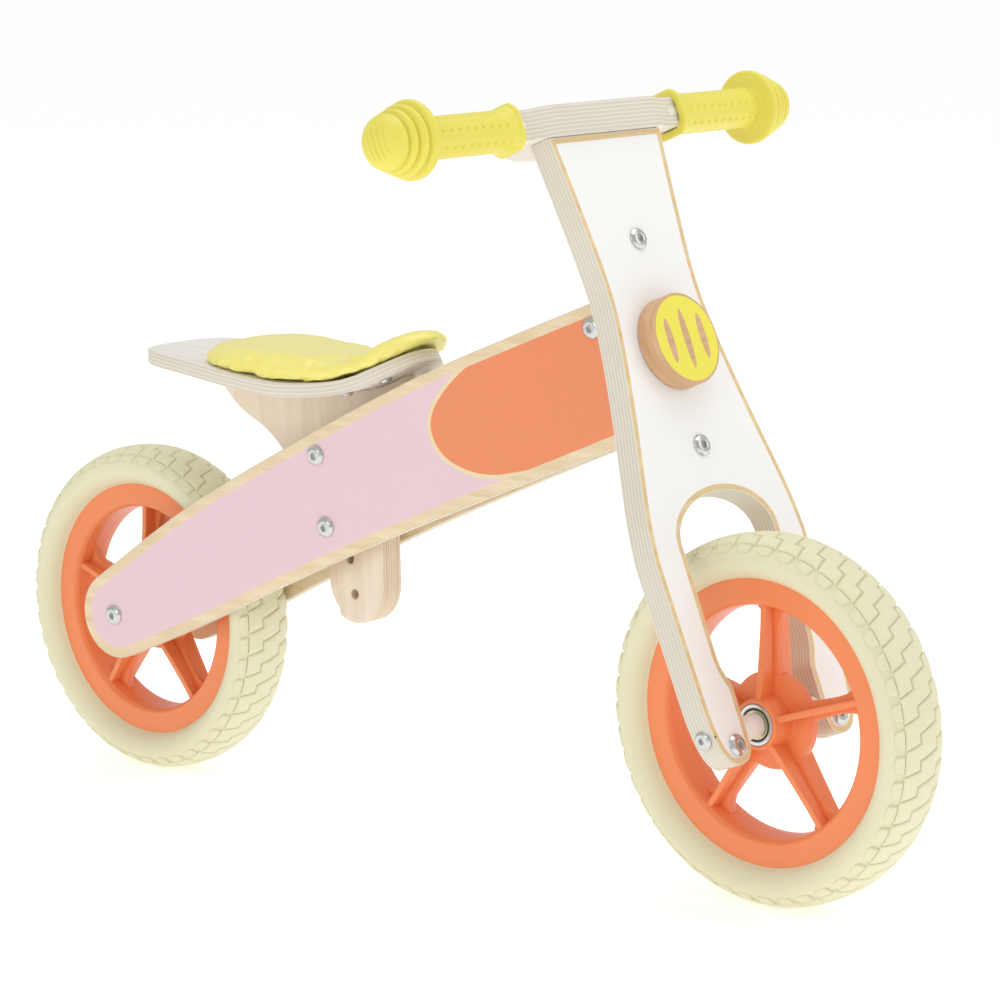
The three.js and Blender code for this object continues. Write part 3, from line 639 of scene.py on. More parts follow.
def make_hub_parts(name, spins_with, stays_with, place, spacer_end):
    """Outer rings turn with the wheel; inner rings and spacers stay on the axle."""
    low, high = HUB_HALF - BEARING_W + 0.2, HUB_HALF - 0.1
    outer = [(11.4, low), (BEARING_R, low), (BEARING_R, high), (11.4, high)]
    seal = [(9.8, low + 1), (11.6, low + 1), (11.6, high - 0.7), (9.8, high - 0.7)]
    inner = [(6.1, low), (9.9, low), (9.9, high), (6.1, high)]
    spacer = [(6.1, HUB_HALF + 0.2), (8.25, HUB_HALF + 0.2), (8.25, spacer_end), (6.1, spacer_end)]
    for label, side in (("right", -1), ("left", 1)):
        rings = [turned(ring_rows(outer, 0.5)), turned(ring_rows(seal, 0.2), slot=1)]
        verts, faces, slots = joined([mirrored(r, side) for r in rings])
        made = shape_of(f"{name}_bearing_outer_ring_{label}", place(verts), faces, [zinc, seal_rubber], slots)
        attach(made, spins_with)
        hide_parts(f"{name}_bearing_outer_{label}")
        for word, rows, look, node, slot in (
            ("bearing_inner_ring", inner, brassy, "bearing_inner", "zinc_steel"),
            ("nylon_spacer", spacer, nylon, "spacer", "nylon"),
        ):
            verts, faces, slots = joined([mirrored(turned(ring_rows(rows, 0.4), 48), side)])
            made = shape_of(f"{name}_{word}_{label}", place(verts), faces, [look], slots)
            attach(made, stays_with)
            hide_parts(f"{name}_{node}_{label}")


REAR_SPACER_END, LEG_INNER = 35.8, 41.0
make_hub_parts("rear", "rear_wheel", "frame", at_rear_hub, REAR_SPACER_END)
make_hub_parts("front", "front_wheel", "fork", at_front_hub, LEG_INNER - 0.3)
AXLE_R, STUD_R, STUD_END = 5.7, 3.0, 60.0


def make_axle(name, body, place, half):
    """A rod through the hub, from rows on its left half."""
    rows = [(radius, -along) for radius, along in half[::-1]] + half
    verts, faces, slots = joined([turned(soften(rows, 0.6), 40)])
    made = shape_of(name + "_rod", place(verts), faces, [zinc], slots)
    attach(made, body)
    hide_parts(name)


rear_half = [(AXLE_R, REAR_SPACER_END), (0, REAR_SPACER_END)]
front_half = [(AXLE_R, LEG_INNER - 0.3), (STUD_R, LEG_INNER - 0.3), (STUD_R, STUD_END), (0, STUD_END)]
make_axle("rear_axle", "frame", at_rear_hub, rear_half)
make_axle("front_axle", "fork", at_front_hub, front_half)


# ------------------------------------------------------------------ side panels
# Two birch plywood boards, each bent where it leaves the steering head so that the pair
# opens towards the rear axle. The outer faces are printed pink and orange with a bare border.


def stretched(tree, place, by):
    """A place stretched along its axes, to draw a texture out."""
    return add(tree, "ShaderNodeVectorMath", {0: place, 1: by}, operation="MULTIPLY").outputs[0]


def ply_edge_group():
    """The stripes of a sawn plywood edge: lighter and darker veneers with thin glue lines."""
    takes = [("Place", VECTOR, None), ("Veneer", FLOAT, 0.0014)]
    tree, start, end = shader_group("plywood_edge", takes, [("Tone", FLOAT), ("Height", FLOAT)])
    place, thickness = start.outputs[:2]
    parts = add(tree, "ShaderNodeSeparateXYZ", {0: place})
    along = add(tree, "ShaderNodeCombineXYZ", {"X": parts.outputs[0]}).outputs[0]
    drift = maths(tree, "MULTIPLY", noise(tree, along, 40.0, 3.0), 0.00045)
    layer = maths(tree, "DIVIDE", maths(tree, "ADD", parts.outputs[1], drift), thickness)
    parity = maths(tree, "PINGPONG", maths(tree, "FLOOR", layer), 1.0)
    near = {"Value": maths(tree, "PINGPONG", layer, 0.5), "From Max": 0.16, "To Min": 1.0, "To Max": 0.0}
    glue = add(tree, "ShaderNodeMapRange", near).outputs[0]
    grain = noise(tree, stretched(tree, place, (120.0, 2600.0, 1.0)), 1.0, 4.0)
    glued = maths(tree, "MULTIPLY_ADD", glue, 0.38, maths(tree, "MULTIPLY", parity, 0.42))
    tone = maths(tree, "MULTIPLY_ADD", grain, 0.4, glued)
    tree.links.new(maths(tree, "SUBTRACT", tone, 0.16, use_clamp=True), end.inputs["Tone"])
    tree.links.new(tone, end.inputs["Height"])
    return tree


def grain_group():
    """Birch face grain: long soft figure along the sheet and short fine pores."""
    takes = [("Place", VECTOR, None), ("Length", FLOAT, 9.0), ("Width", FLOAT, 130.0)]
    tree, start, end = shader_group("birch_grain", takes, [("Tone", FLOAT), ("Height", FLOAT)])
    place, length, width = start.outputs[:3]
    by = add(tree, "ShaderNodeCombineXYZ", {"X": length, "Y": width}).outputs[0]
    at = stretched(tree, place, by)
    figure = noise(tree, at, 1.0, 5.0, Distortion=0.6)
    pores = noise(tree, stretched(tree, at, (14.0, 9.0, 1.0)), 1.0, 2.0)
    mixed = {"Value": maths(tree, "MULTIPLY_ADD", pores, 0.35, figure), "From Min": 0.45, "From Max": 0.95}
    tone = add(tree, "ShaderNodeMapRange", mixed).outputs[0]
    tree.links.new(tone, end.inputs["Tone"])
    tree.links.new(pores, end.inputs["Height"])
    return tree


ply_edge, birch_grain = ply_edge_group(), grain_group()


WOOD_DEPTH, PAINT_DEPTH, PAINT_COAT = 0.00006, 0.00003, 0.12


def wood(name, light, dark, roughness, edge_veneer=None, grain=(9.0, 130.0), turn=0.0):
    """Sanded birch: a face with its grain, or a sawn edge with its veneers if a thickness is given."""
    made, tree, shader = bare_material(name)
    where = add(tree, "ShaderNodeUVMap", uv_map="board").outputs[0]
    if edge_veneer:
        figure = use_group(tree, ply_edge, {"Place": where, "Veneer": edge_veneer})
    else:
        turned_to = add(tree, "ShaderNodeMapping", {"Vector": where, "Rotation": (0.0, 0.0, turn)})
        links = {"Place": turned_to.outputs[0], "Length": grain[0], "Width": grain[1]}
        figure = use_group(tree, birch_grain, links)
    mix = add(tree, "ShaderNodeMix", {"Factor": figure.outputs["Tone"]}, data_type="RGBA")
    mix.inputs[6].default_value, mix.inputs[7].default_value = light, dark
    dress(tree, shader, {"Colour": mix.outputs[2], "Scale": 16.0, "Amount": 0.1},
          {"Roughness": roughness, "Spread": 0.12})
    bump(tree, shader, figure.outputs["Height"], WOOD_DEPTH)
    return made


def paint(name, colour, roughness=0.42):
    """Satin paint over birch: the grain just shows in the surface and the colour is barely mottled."""
    made, tree, shader = bare_material(name)
    where = add(tree, "ShaderNodeUVMap", uv_map="board").outputs[0]
    dress(tree, shader, {"Colour": colour, "Scale": 14.0, "Amount": 0.025},
          {"Roughness": roughness, "Spread": 0.1})
    figure = use_group(tree, birch_grain, {"Place": where, "Length": 12.0, "Width": 220.0})
    bump(tree, shader, figure.outputs["Tone"], PAINT_DEPTH, 0.6)
    shader.inputs["Coat Weight"].default_value = PAINT_COAT
    shader.inputs["Coat Roughness"].default_value = 0.3
    return made


def board(outline, thick, holes=(), front=(), back=(), lines=(), edge=0.8, hole_edge=0.6):
    """A flat board as points of two in-plane places and one across, with faces, slots and a map.
    Slot 0 is the sawn edge, slot 1 the bare face; front and back list painted areas and their slots."""
    outline = np.asarray(outline, float)
    loops = [(outline, edge, 1)] + [(np.asarray(h, float), hole_edge, -1) for h in holes]
    verts, faces, slots, maps = [], [], [], []
    rims = []
    for loop, radius, inward in loops:
        turns = [math.radians(a) for a in (0, 30, 60, 90)]
        levels = [(radius * (1 - math.sin(a)), thick / 2 - radius * (1 - math.cos(a))) for a in turns]
        levels += [(inset, -across) for inset, across in levels[::-1]]
        run = run_along(np.vstack((loop, loop[:1])))
        rings = [set_in(loop, inward * inset) for inset, _ in levels]
        rims.append(rings[0])
        count, start = len(loop), len(verts)
        for ring, (_, across) in zip(rings, levels):
            verts += [(u, v, across) for u, v in ring]
        for level in range(len(levels) - 1):
            for i in range(count):
                j = (i + 1) % count
                a, b = start + level * count, start + (level + 1) * count
                faces.append((a + i, b + i, b + j, a + j))
                slots.append(0)
                top, low = levels[level][1], levels[level + 1][1]
                maps += [(run[i], top), (run[i], low), (run[i + 1], low), (run[i + 1], top)]
    for across, areas in ((thick / 2, front), (-thick / 2, back)):
        flat, found = fill(rims + [np.asarray(a, float) for a, _, _ in areas], lines)
        middles = np.array([flat[list(f)].mean(axis=0) for f in found])
        kept = inside(middles, rims[0])
        for rim in rims[1:]:
            kept &= ~inside(middles, rim)
        slot = np.ones(len(found), int)
        for loop, number, within in areas:
            hit = inside(middles, np.asarray(loop, float))
            slot[hit & np.isin(slot, within)] = number
        start = len(verts)
        verts += [(u, v, across) for u, v in flat]
        for face, good, number in zip(found, kept, slot):
            if good:
                faces.append(tuple(start + i for i in face))
                slots.append(int(number))
                maps += [tuple(flat[i]) for i in face]
    return np.array(verts), faces, slots, np.array(maps) / 1000


def shrunk(loop, inset):
    """A closed loop moved well inwards, leaving out what folds over itself at tight corners."""
    moved = set_in(loop, inset)
    ends = np.roll(loop, -1, 0)
    along = ends - loop
    gap = moved[:, None, :] - loop[None, :, :]
    share = np.clip((gap * along).sum(2) / np.maximum((along**2).sum(1), 1e-9), 0, 1)
    near = np.linalg.norm(gap - share[:, :, None] * along, axis=2).min(axis=1)
    return moved[near > inset * 0.97]


def curve_to(start, first, second, end, steps=14):
    """A Bezier curve's points after its start."""
    t = np.linspace(0, 1, steps + 1)[1:, None]
    start, first, second, end = (np.array(p, float) for p in (start, first, second, end))
    return (1 - t) ** 3 * start + 3 * (1 - t) ** 2 * t * first + 3 * (1 - t) * t * t * second + t**3 * end


def bend_to(start, control, end, steps=10):
    """A quadratic curve's points after its start."""
    start, control, end = (np.array(p, float) for p in (start, control, end))
    return curve_to(start, start + (control - start) * 2 / 3, end + (control - end) * 2 / 3, end, steps)


def arc(centre, radius, start, stop, steps=24):
    turn = np.linspace(start, stop, steps + 1)
    return np.column_stack((centre[0] + radius * np.cos(turn), centre[1] + radius * np.sin(turn)))


def circle(centre, radius, count=28):
    return arc(centre, radius, 0, 2 * math.pi, count)[:-1]


SPACING = 2.5


def evened(points):
    """A closed anticlockwise loop with points at even steps."""
    p = np.asarray(points, float)
    p = p[np.linalg.norm(p - np.roll(p, 1, 0), axis=1) > 1e-4]
    p = anticlockwise(p)
    closed = np.vstack((p, p[:1]))
    run = run_along(closed)
    at = np.linspace(0, run[-1], int(run[-1] / SPACING) + 1)[:-1]
    return np.column_stack([np.interp(at, run, closed[:, k]) for k in (0, 1)])


WHEELBASE = (front_hub - rear_hub)[0] * 1000
AXLE_HIGH = rear_hub[2] * 1000
RAKE = math.atan2(-up_fork[0], up_fork[2])


def beside_fork(ahead, up):
    """Side view place, from the rear axle, of a point ahead of and along the fork board."""
    x = WHEELBASE + ahead * math.cos(RAKE) - up * math.sin(RAKE)
    return x, AXLE_HIGH + ahead * math.sin(RAKE) + up * math.cos(RAKE)


PANEL_THICK, PANEL_END_R = 9.0, 33.0
PANEL_REAR_HALF, PANEL_FRONT_HALF, BEND_X = 46.0, 12.3, 425.0
SPLAY = math.atan((PANEL_REAR_HALF - PANEL_FRONT_HALF) / BEND_X)
END_TURN_TOP, END_TURN_LOW = 0.62, 0.42
PANEL_FRONT = -31.0
BORDER = 8.0


def panel_outline():
    """The panel's side view: round at the rear axle, tapering forward to rounded front corners."""
    top = [(-PANEL_END_R * math.sin(END_TURN_TOP), AXLE_HIGH + PANEL_END_R * math.cos(END_TURN_TOP)),
           (74, 214), (176, 269.5), (290, 326), (381, 364), beside_fork(PANEL_FRONT - 10, 302)]
    low = [beside_fork(PANEL_FRONT - 18, 205), (406, 268.5), (282, 217), (171, 167), (84, 125.5),
           (PANEL_END_R * math.sin(END_TURN_LOW), AXLE_HIGH - PANEL_END_R * math.cos(END_TURN_LOW))]
    loop = list(spline(top, 14))
    loop += list(bend_to(loop[-1], beside_fork(PANEL_FRONT, 302), beside_fork(PANEL_FRONT, 292)))
    loop.append(beside_fork(PANEL_FRONT, 223))
    loop += list(bend_to(loop[-1], beside_fork(PANEL_FRONT, 205), beside_fork(PANEL_FRONT - 18, 205)))
    loop += list(spline(low, 14))
    start, stop = -math.pi / 2 + END_TURN_LOW, -1.5 * math.pi + END_TURN_TOP
    loop += list(arc((0, AXLE_HIGH), PANEL_END_R, start, stop, 48))
    return evened(loop)


def orange_patch():
    """The orange print: a blunt rounded end, then up to the border above and below."""
    nose = [(392, 372), (374, 361), (351, 346), (328, 327), (313.5, 308), (311.5, 292), (322, 276.5),
            (343, 268), (366, 266.8), (390, 271.5), (404, 275)]
    return evened([*spline(nose, 8), (470, 280), (620, 340), (620, 460), (420, 420)])


INLAY = 3.0
bare_birch = wood("bare_birch_face", linear(238, 220, 186), linear(216, 192, 152), 0.55)
pale_edge = wood("pale_plywood_edge", linear(232, 222, 200), linear(198, 178, 146), 0.62, edge_veneer=0.0013)
pink_print = paint("pink_print", linear(229, 199, 207))
orange_print = paint("orange_print", linear(234, 138, 92))
cream_inlay = paint("cream_inlay", linear(232, 214, 170))


def on_panel(points, side):
    """Panel places: x, z and distance outwards from the board's middle, bent out behind the bend."""
    x, z, out = np.asarray(points, float).T
    depth = out - PANEL_THICK / 2
    behind = x < BEND_X
    swing_x = BEND_X + (x - BEND_X) * math.cos(SPLAY) + depth * math.sin(SPLAY)
    swing_y = PANEL_FRONT_HALF - (x - BEND_X) * math.sin(SPLAY) + depth * math.cos(SPLAY)
    bent_x, bent_y = np.where(behind, swing_x, x), np.where(behind, swing_y, PANEL_FRONT_HALF + depth)
    return on_bike(np.column_stack((bent_x, side * bent_y, z)))


def make_panel(label, side):
    outline = panel_outline()
    patch = orange_patch()
    print_area = shrunk(outline, BORDER)
    areas = [(print_area, 2, (1,)), (set_in(patch, -INLAY), 3, (2,)), (patch, 4, (3,))]
    bend = [(BEND_X, 100), (BEND_X, 500)]
    verts, faces, slots, maps = board(outline, PANEL_THICK, front=areas, lines=[bend])
    looks = [pale_edge, bare_birch, pink_print, cream_inlay, orange_print]
    name = "panel_board_" + label
    made = shape_of(name, on_panel(verts, side), faces, looks, slots, maps, smooth_angle=28)
    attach(made, "frame")
    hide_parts("panel_" + label)


make_panel("right", -1)
make_panel("left", 1)


# ------------------------------------------------------------------ fork board
# One 18 mm plywood board that is both the steering head and the two legs beside the front
# wheel, arched over the tyre. White paint on both faces inside a thin bare border.

FORK_PLY, BOARD_TOP = 18.0, 406.0
ARCH_R, ARCH_HIGH, ARCH_V = 48.0, 30.0, 125.0
UPPER_BOLT_V, LOWER_BOLT_V = 331.0, 187.0
FORK_BORDER = 4.6
LEG_HALF, LEG_BOLT_Y, LEG_BOLT_V = 73.0, 55.0, -9.0


def leg_run(sign):
    """Half of the fork board's outline, from its top down round the leg to the arch."""
    side = [(57, BOARD_TOP), (50.5, 350), (46.5, 300), (50, 262), (60, 212), (75, 150), (79.5, 118)]
    run = list(spline(side, 12)) + [(77, 20)]
    run += list(bend_to(run[-1], (75, -22), (56, -22)))
    run += list(bend_to(run[-1], (LEG_INNER, -22), (LEG_INNER, -8)))
    run.append((LEG_INNER, 24))
    run += list(curve_to(run[-1], (LEG_INNER, 34), (ARCH_R, 36), (ARCH_R, 52)))
    run.append((ARCH_R, ARCH_V))
    return [(sign * y, v) for y, v in run]


def fork_outline():
    turn = np.linspace(0, math.pi, 40)[1:-1]
    arch = [(ARCH_R * math.cos(a), ARCH_V + ARCH_HIGH * math.sin(a)) for a in turn]
    return evened([*leg_run(1), *arch, *leg_run(-1)[::-1]])


white_paint = paint("white_paint", linear(244, 243, 240))
border_birch = wood("bare_birch_border", linear(233, 208, 160), linear(214, 182, 128), 0.5)
washed_edge = wood("whitewashed_plywood_edge", linear(226, 221, 207), linear(194, 184, 163), 0.6,
                   edge_veneer=0.0014)


def make_fork_board():
    outline = fork_outline()
    painted = [(shrunk(outline, FORK_BORDER), 2, (1,))]
    verts, faces, slots, maps = board(outline, FORK_PLY, front=painted, back=painted, edge=1.0)
    placed = on_fork(verts[:, (2, 0, 1)])
    looks = [washed_edge, border_birch, white_paint]
    made = shape_of("fork_board_plywood", placed, faces, looks, slots, maps, 28)
    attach(made, "fork")
    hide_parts("fork_board")


make_fork_board()


# ------------------------------------------------------------------ headlight
# A turned wooden disc screwed to the fork board, its face painted yellow inside a bare rim,
# with three pointed slots left bare.

LAMP_V, LAMP_R, LAMP_DEEP = 257.0, 31.5, 15.0
# Each slot's place across the disc and half its length.
SLOTS, SLOT_HALF = [(-16.5, 15.5), (0, 20.5), (16.5, 15.5)], 3.3
lamp_yellow = paint("headlight_yellow", linear(237, 226, 76), roughness=0.5)
lamp_wood = wood("turned_beech", linear(222, 182, 142), linear(192, 146, 104), 0.5, grain=(30.0, 260.0))


def pointed_slot(middle, half_length, half_width):
    """A slot's outline up the disc's face: two bowed sides that meet in points."""
    t = np.linspace(0, math.pi, 16)
    right = [(middle + half_width * math.sin(a), -half_length * math.cos(a)) for a in t]
    return right + [(2 * middle - y, v) for y, v in right[::-1][1:-1]]


def make_headlight():
    outline = circle((0, 0), LAMP_R, 96)
    bare = [np.array(pointed_slot(y, length, SLOT_HALF)) for y, length in SLOTS]
    areas = [(circle((0, 0), LAMP_R - 2.0, 96), 2, (1,))] + [(slot, 1, (2,)) for slot in bare]
    verts, faces, slots, maps = board(outline, LAMP_DEEP, front=areas, edge=1.1)
    middle = (FORK_PLY / 2 + 0.3 + LAMP_DEEP / 2, 0, LAMP_V)
    placed = on_fork(verts[:, (2, 0, 1)] + middle)
    looks = [lamp_wood, lamp_wood, lamp_yellow]
    made = shape_of("headlight_turned_disc", placed, faces, looks, slots, maps, 28)
    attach(made, "fork")
    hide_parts("headlight_disc")


make_headlight()


# ------------------------------------------------------------------ handlebar board
# A thick plywood board across the top of the fork, bowed at the back and nearly straight in
# front, with an arm at each end that goes into a grip.

BAR_THICK, BAR_AHEAD, BAR_ARM, ARM_START, ARM_END = 21.0, -3.0, 10.0, 80.0, 92.0
BAR_V = BOARD_TOP + 0.3 + BAR_THICK / 2
DOWEL_R, DOWEL_END = 10.5, 190.0


def bar_outline():
    rear, front = BAR_AHEAD - BAR_ARM, BAR_AHEAD + BAR_ARM
    half = [(14, 0), (14, 44)]
    half += list(curve_to(half[-1], (14, 60), (front, 62), (front, ARM_START)))
    half += [(front, ARM_END), (rear, ARM_END), (rear, ARM_START)]
    half += list(curve_to(half[-1], (rear, 62), (-32, 64), (-42, 42)))
    half += list(curve_to(half[-1], (-48, 29), (-51, 14.5), (-51, 0)))
    return evened([*half, *[(d, -y) for d, y in half[::-1][1:-1]]])


white_birch = wood("whitewashed_birch_face", linear(240, 236, 226), linear(222, 214, 198), 0.5,
                   grain=(7.0, 90.0), turn=math.pi / 2)


def make_handlebar():
    verts, faces, slots, maps = board(bar_outline(), BAR_THICK, edge=1.6)
    rows = soften([(0, -DOWEL_END), (DOWEL_R, -DOWEL_END), (DOWEL_R, DOWEL_END), (0, DOWEL_END)], 1.0)
    rod_verts, rod_faces, _ = turned(rows, 32)
    placed = on_fork(np.concatenate([verts + (0, 0, BAR_V), rod_verts + (BAR_AHEAD, 0, BAR_V)]))
    start = len(verts)
    faces = faces + [tuple(i + start for i in face) for face in rod_faces]
    slots = slots + [1] * len(rod_faces)
    maps = np.concatenate([maps, np.zeros((sum(len(face) for face in rod_faces), 2))])
    made = shape_of("handlebar_board", placed, faces, [washed_edge, white_birch], slots, maps, 28)
    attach(made, "fork")
    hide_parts("handlebar")


make_handlebar()


# ------------------------------------------------------------------ seat post
# A plywood core between two thinner cheeks, drilled with a row of holes so that the seat can
# be bolted at several heights. Two wooden wedges fill the space out to the splayed panels.

POST_CORE, POST_CHEEK, POST_HALF, END_LIFT = 10.0, 4.3, 29.5, 8.0
POST_HOLES, FIRST_HOLE, HOLE_LEAN, HOLE_PITCH, HOLE_R = 5, (221.0, 163.0), 0.155, 25.8, 3.6
SEAT_CURVE = [(30, 322), (88, 319.5), (144, 315), (194, 310.5), (238, 314.5), (274, 328), (306, 348)]
seat_underside = spline(SEAT_CURVE, 60)


def post_hole(number):
    z = FIRST_HOLE[1] + number * HOLE_PITCH
    return FIRST_HOLE[0] - HOLE_LEAN * (z - FIRST_HOLE[1]), z


def core_outline():
    x, z = FIRST_HOLE
    front, rear, middle = x + POST_HALF, x - POST_HALF, z + END_LIFT
    loop = [(front, middle), (front, 232)]
    loop += list(curve_to(loop[-1], (front, 262), (front + 4, 285), (front + 24, 300)))
    first, last = (int(share * (len(seat_underside) - 1)) for share in (0.14, 0.83))
    loop += [(px, pz - 0.3) for px, pz in seat_underside[first:last][::-6]]
    loop += list(curve_to(loop[-1], (82, 300), (100, 288), (122, 279)))
    loop += list(curve_to((122, 279), (150, 266), (165, 235), (rear, 205)))
    loop += list(arc((x, middle), POST_HALF, math.pi, 2 * math.pi, 40))
    return evened(loop)


def cheek_outline():
    x, z = FIRST_HOLE
    front, rear, radius = x + POST_HALF - 0.2, x - 15.5, POST_HALF - 0.2
    loop = [(front, z + END_LIFT), (front, 270), (rear - 7, 270), (rear, z - 17)]
    loop += list(arc((x, z + END_LIFT), radius, math.pi * 1.325, 2 * math.pi, 30))
    return evened(loop)


post_face = wood("bare_birch_post", linear(238, 223, 202), linear(224, 205, 178), 0.52, grain=(8.0, 90.0),
                 turn=math.pi / 2)
post_edge = wood("post_plywood_edge", linear(232, 214, 188), linear(196, 170, 136), 0.6, edge_veneer=0.0013)


def make_post_layer(name, node, outline, thick, out):
    holes = [circle(post_hole(i), HOLE_R) for i in range(POST_HOLES)]
    verts, faces, slots, maps = board(outline, thick, holes, edge=0.7, hole_edge=1.1)
    placed = on_bike(np.column_stack((verts[:, 0], verts[:, 2] + out, verts[:, 1])))
    made = shape_of(name, placed, faces, [post_edge, post_face], slots, maps, 28)
    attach(made, "frame")
    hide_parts(node)


make_post_layer("post_core_board", "post_core", core_outline(), POST_CORE, 0.0)
cheek_out = POST_CORE / 2 + 0.1 + POST_CHEEK / 2
make_post_layer("post_cheek_board_right", "post_cheek_right", cheek_outline(), POST_CHEEK, -cheek_out)
make_post_layer("post_cheek_board_left", "post_cheek_left", cheek_outline(), POST_CHEEK, cheek_out)


# ------------------------------------------------------------------ seat plate
# A 10 mm plywood sheet pressed to the seat's curve, wide in the middle and narrower in
# front, screwed down on the post. Its faces are left in whitewashed birch.

SEAT_PLY, SEAT_WIDEST, SEAT_CORNER = 10.0, 146.0, 32.0
run_x, run_z = seat_underside.T
slope = np.gradient(seat_underside, axis=0)
slope /= np.linalg.norm(slope, axis=1)[:, None]


def on_seat(points):
    """Places given by x along the seat's underside, y, and height above that underside."""
    x, y, lift = np.asarray(points, float).T
    z = np.interp(x, run_x, run_z)
    tip_x, tip_z = np.interp(x, run_x, slope[:, 0]), np.interp(x, run_x, slope[:, 1])
    return on_bike(np.column_stack((x - tip_z * lift, y, z + tip_x * lift)))


def seat_plan(rear, nose, nose_r, rear_half, mid_half):
    """The seat from above: large round corners behind, a round nose in front."""
    half = list(arc((nose, 0), nose_r, 0, math.pi / 2, 20))
    half += list(curve_to(half[-1], (nose - 40, nose_r + 6), (SEAT_WIDEST + 55, mid_half),
                          (SEAT_WIDEST, mid_half)))
    half += list(curve_to(half[-1], (rear + 25, rear_half + 8), (rear + 2, rear_half + 2),
                          (rear, rear_half - SEAT_CORNER)))
    half.append((rear, 0))
    return evened([*half, *[(x, -y) for x, y in half[::-1][1:-1]]])


seat_edge = wood("seat_plywood_edge", linear(230, 224, 211), linear(198, 185, 163), 0.6, edge_veneer=0.0014)
white_birch_long = wood("whitewashed_birch_seat", linear(240, 236, 230), linear(228, 221, 211), 0.5,
                        grain=(7.0, 90.0))


def make_seat_plate():
    across = [[(x, -90), (x, 90)] for x in np.arange(34, 292, 4.0)]  # so that the faces can bend
    outline = seat_plan(rear=30, nose=257, nose_r=35, rear_half=46, mid_half=62)
    verts, faces, slots, maps = board(outline, SEAT_PLY, lines=across, edge=1.0)
    placed = on_seat(verts + (0, 0, SEAT_PLY / 2))
    made = shape_of("seat_plate_plywood", placed, faces, [seat_edge, white_birch_long], slots, maps, 28)
    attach(made, "frame")
    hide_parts("seat_plate")


make_seat_plate()


# ------------------------------------------------------------------ seat cushion
# Foam under glossy yellow synthetic leather, stretched over the front three quarters of the
# seat plate and tucked under, so the cover puckers along its lower edge.


def cover_material():
    """Glossy yellow hide: fine cells pressed into a moulded skin."""
    made, tree, shader = bare_material("yellow_synthetic_leather")
    height = dress(tree, shader, {"Colour": linear(242, 231, 122), "Scale": 12.0, "Amount": 0.05},
                   {"Grain": 700.0, "Roughness": 0.36, "Spread": 0.12})
    cells = {"Vector": object_place(tree), "Scale": 900.0}
    hide = add(tree, "ShaderNodeTexVoronoi", cells, feature="DISTANCE_TO_EDGE")
    bump(tree, shader, maths(tree, "MULTIPLY_ADD", hide.outputs[0], 0.5, height), 0.00012)
    shader.inputs["Coat Weight"].default_value = 0.25
    shader.inputs["Coat Roughness"].default_value = 0.3
    shader.inputs["Sheen Weight"].default_value = 0.1
    return made


CUSHION_LIFT, CUSHION_HIGH, EDGE_ROLL, EDGE_LOW = SEAT_PLY + 0.4, 14.0, 12.0, 2.5
CUSHION_MIDDLE, CUSHION_LONG, CUSHION_HALF = 195, 100, 58
TRAVEL_CAP = 2.5
TUCK_DEEP, TUCK_IN, FOLD_DEEP = 0.75, 0.25, 1.5
# Each fold's x at the centre line, its run forward for each millimetre sideways, width and strength.
FOLDS = [(222, 0.55, 7, 1.0), (243, 0.5, 6, 0.8)]


def bell(value, middle, width):
    return np.exp(-(((value - middle) / width) ** 2))


def cushion_start():
    """A closed pad over the seat plate: flat underneath, rolled at its edge, fullest behind the middle."""
    plan = seat_plan(rear=97, nose=266, nose_r=37, rear_half=48, mid_half=59)
    count, levels = len(plan), 10
    verts = [(x, y, CUSHION_LIFT) for x, y in set_in(plan, 1.5)]
    for turn in np.linspace(0, math.pi / 2, levels)[:-1]:
        ring = set_in(plan, EDGE_ROLL * (1 - math.cos(turn)) * 0.9)
        fullness = 0.84 + 0.12 * bell(ring[:, 0], 150, 55) + 0.2 * bell(ring[:, 0], 284, 24)
        height = CUSHION_LIFT + EDGE_LOW + (CUSHION_HIGH * fullness - EDGE_LOW) * math.sin(turn)
        verts += [(x, y, h) for (x, y), h in zip(ring, height)]
    ends = [tuple(range(count))[::-1], tuple(range((levels - 1) * count, levels * count))]
    mesh = bpy.data.meshes.new("seat_cushion_cover")
    mesh.from_pydata([tuple(v) for v in on_seat(verts)], [], walls(0, count, levels) + ends)
    made = bpy.data.objects.new("seat_cushion_cover", mesh)
    bpy.context.scene.collection.objects.link(made)
    return made


def apply_modifiers(made):
    graph = bpy.context.evaluated_depsgraph_get()
    mesh = bpy.data.meshes.new_from_object(made.evaluated_get(graph))
    made.modifiers.clear()
    made.data = mesh


def points_of(made):
    co = np.zeros(len(made.data.vertices) * 3)
    made.data.vertices.foreach_get("co", co)
    return co.reshape(-1, 3)


def above_plate(points):
    """Height above the seat plate's top, in millimetres, and x from the rear axle."""
    x = (points[:, 0] - rear_hub[0]) * 1000
    z = points[:, 2] * 1000 - np.interp(x, run_x, run_z)
    return z * np.interp(x, run_x, slope[:, 0]) - SEAT_PLY, x


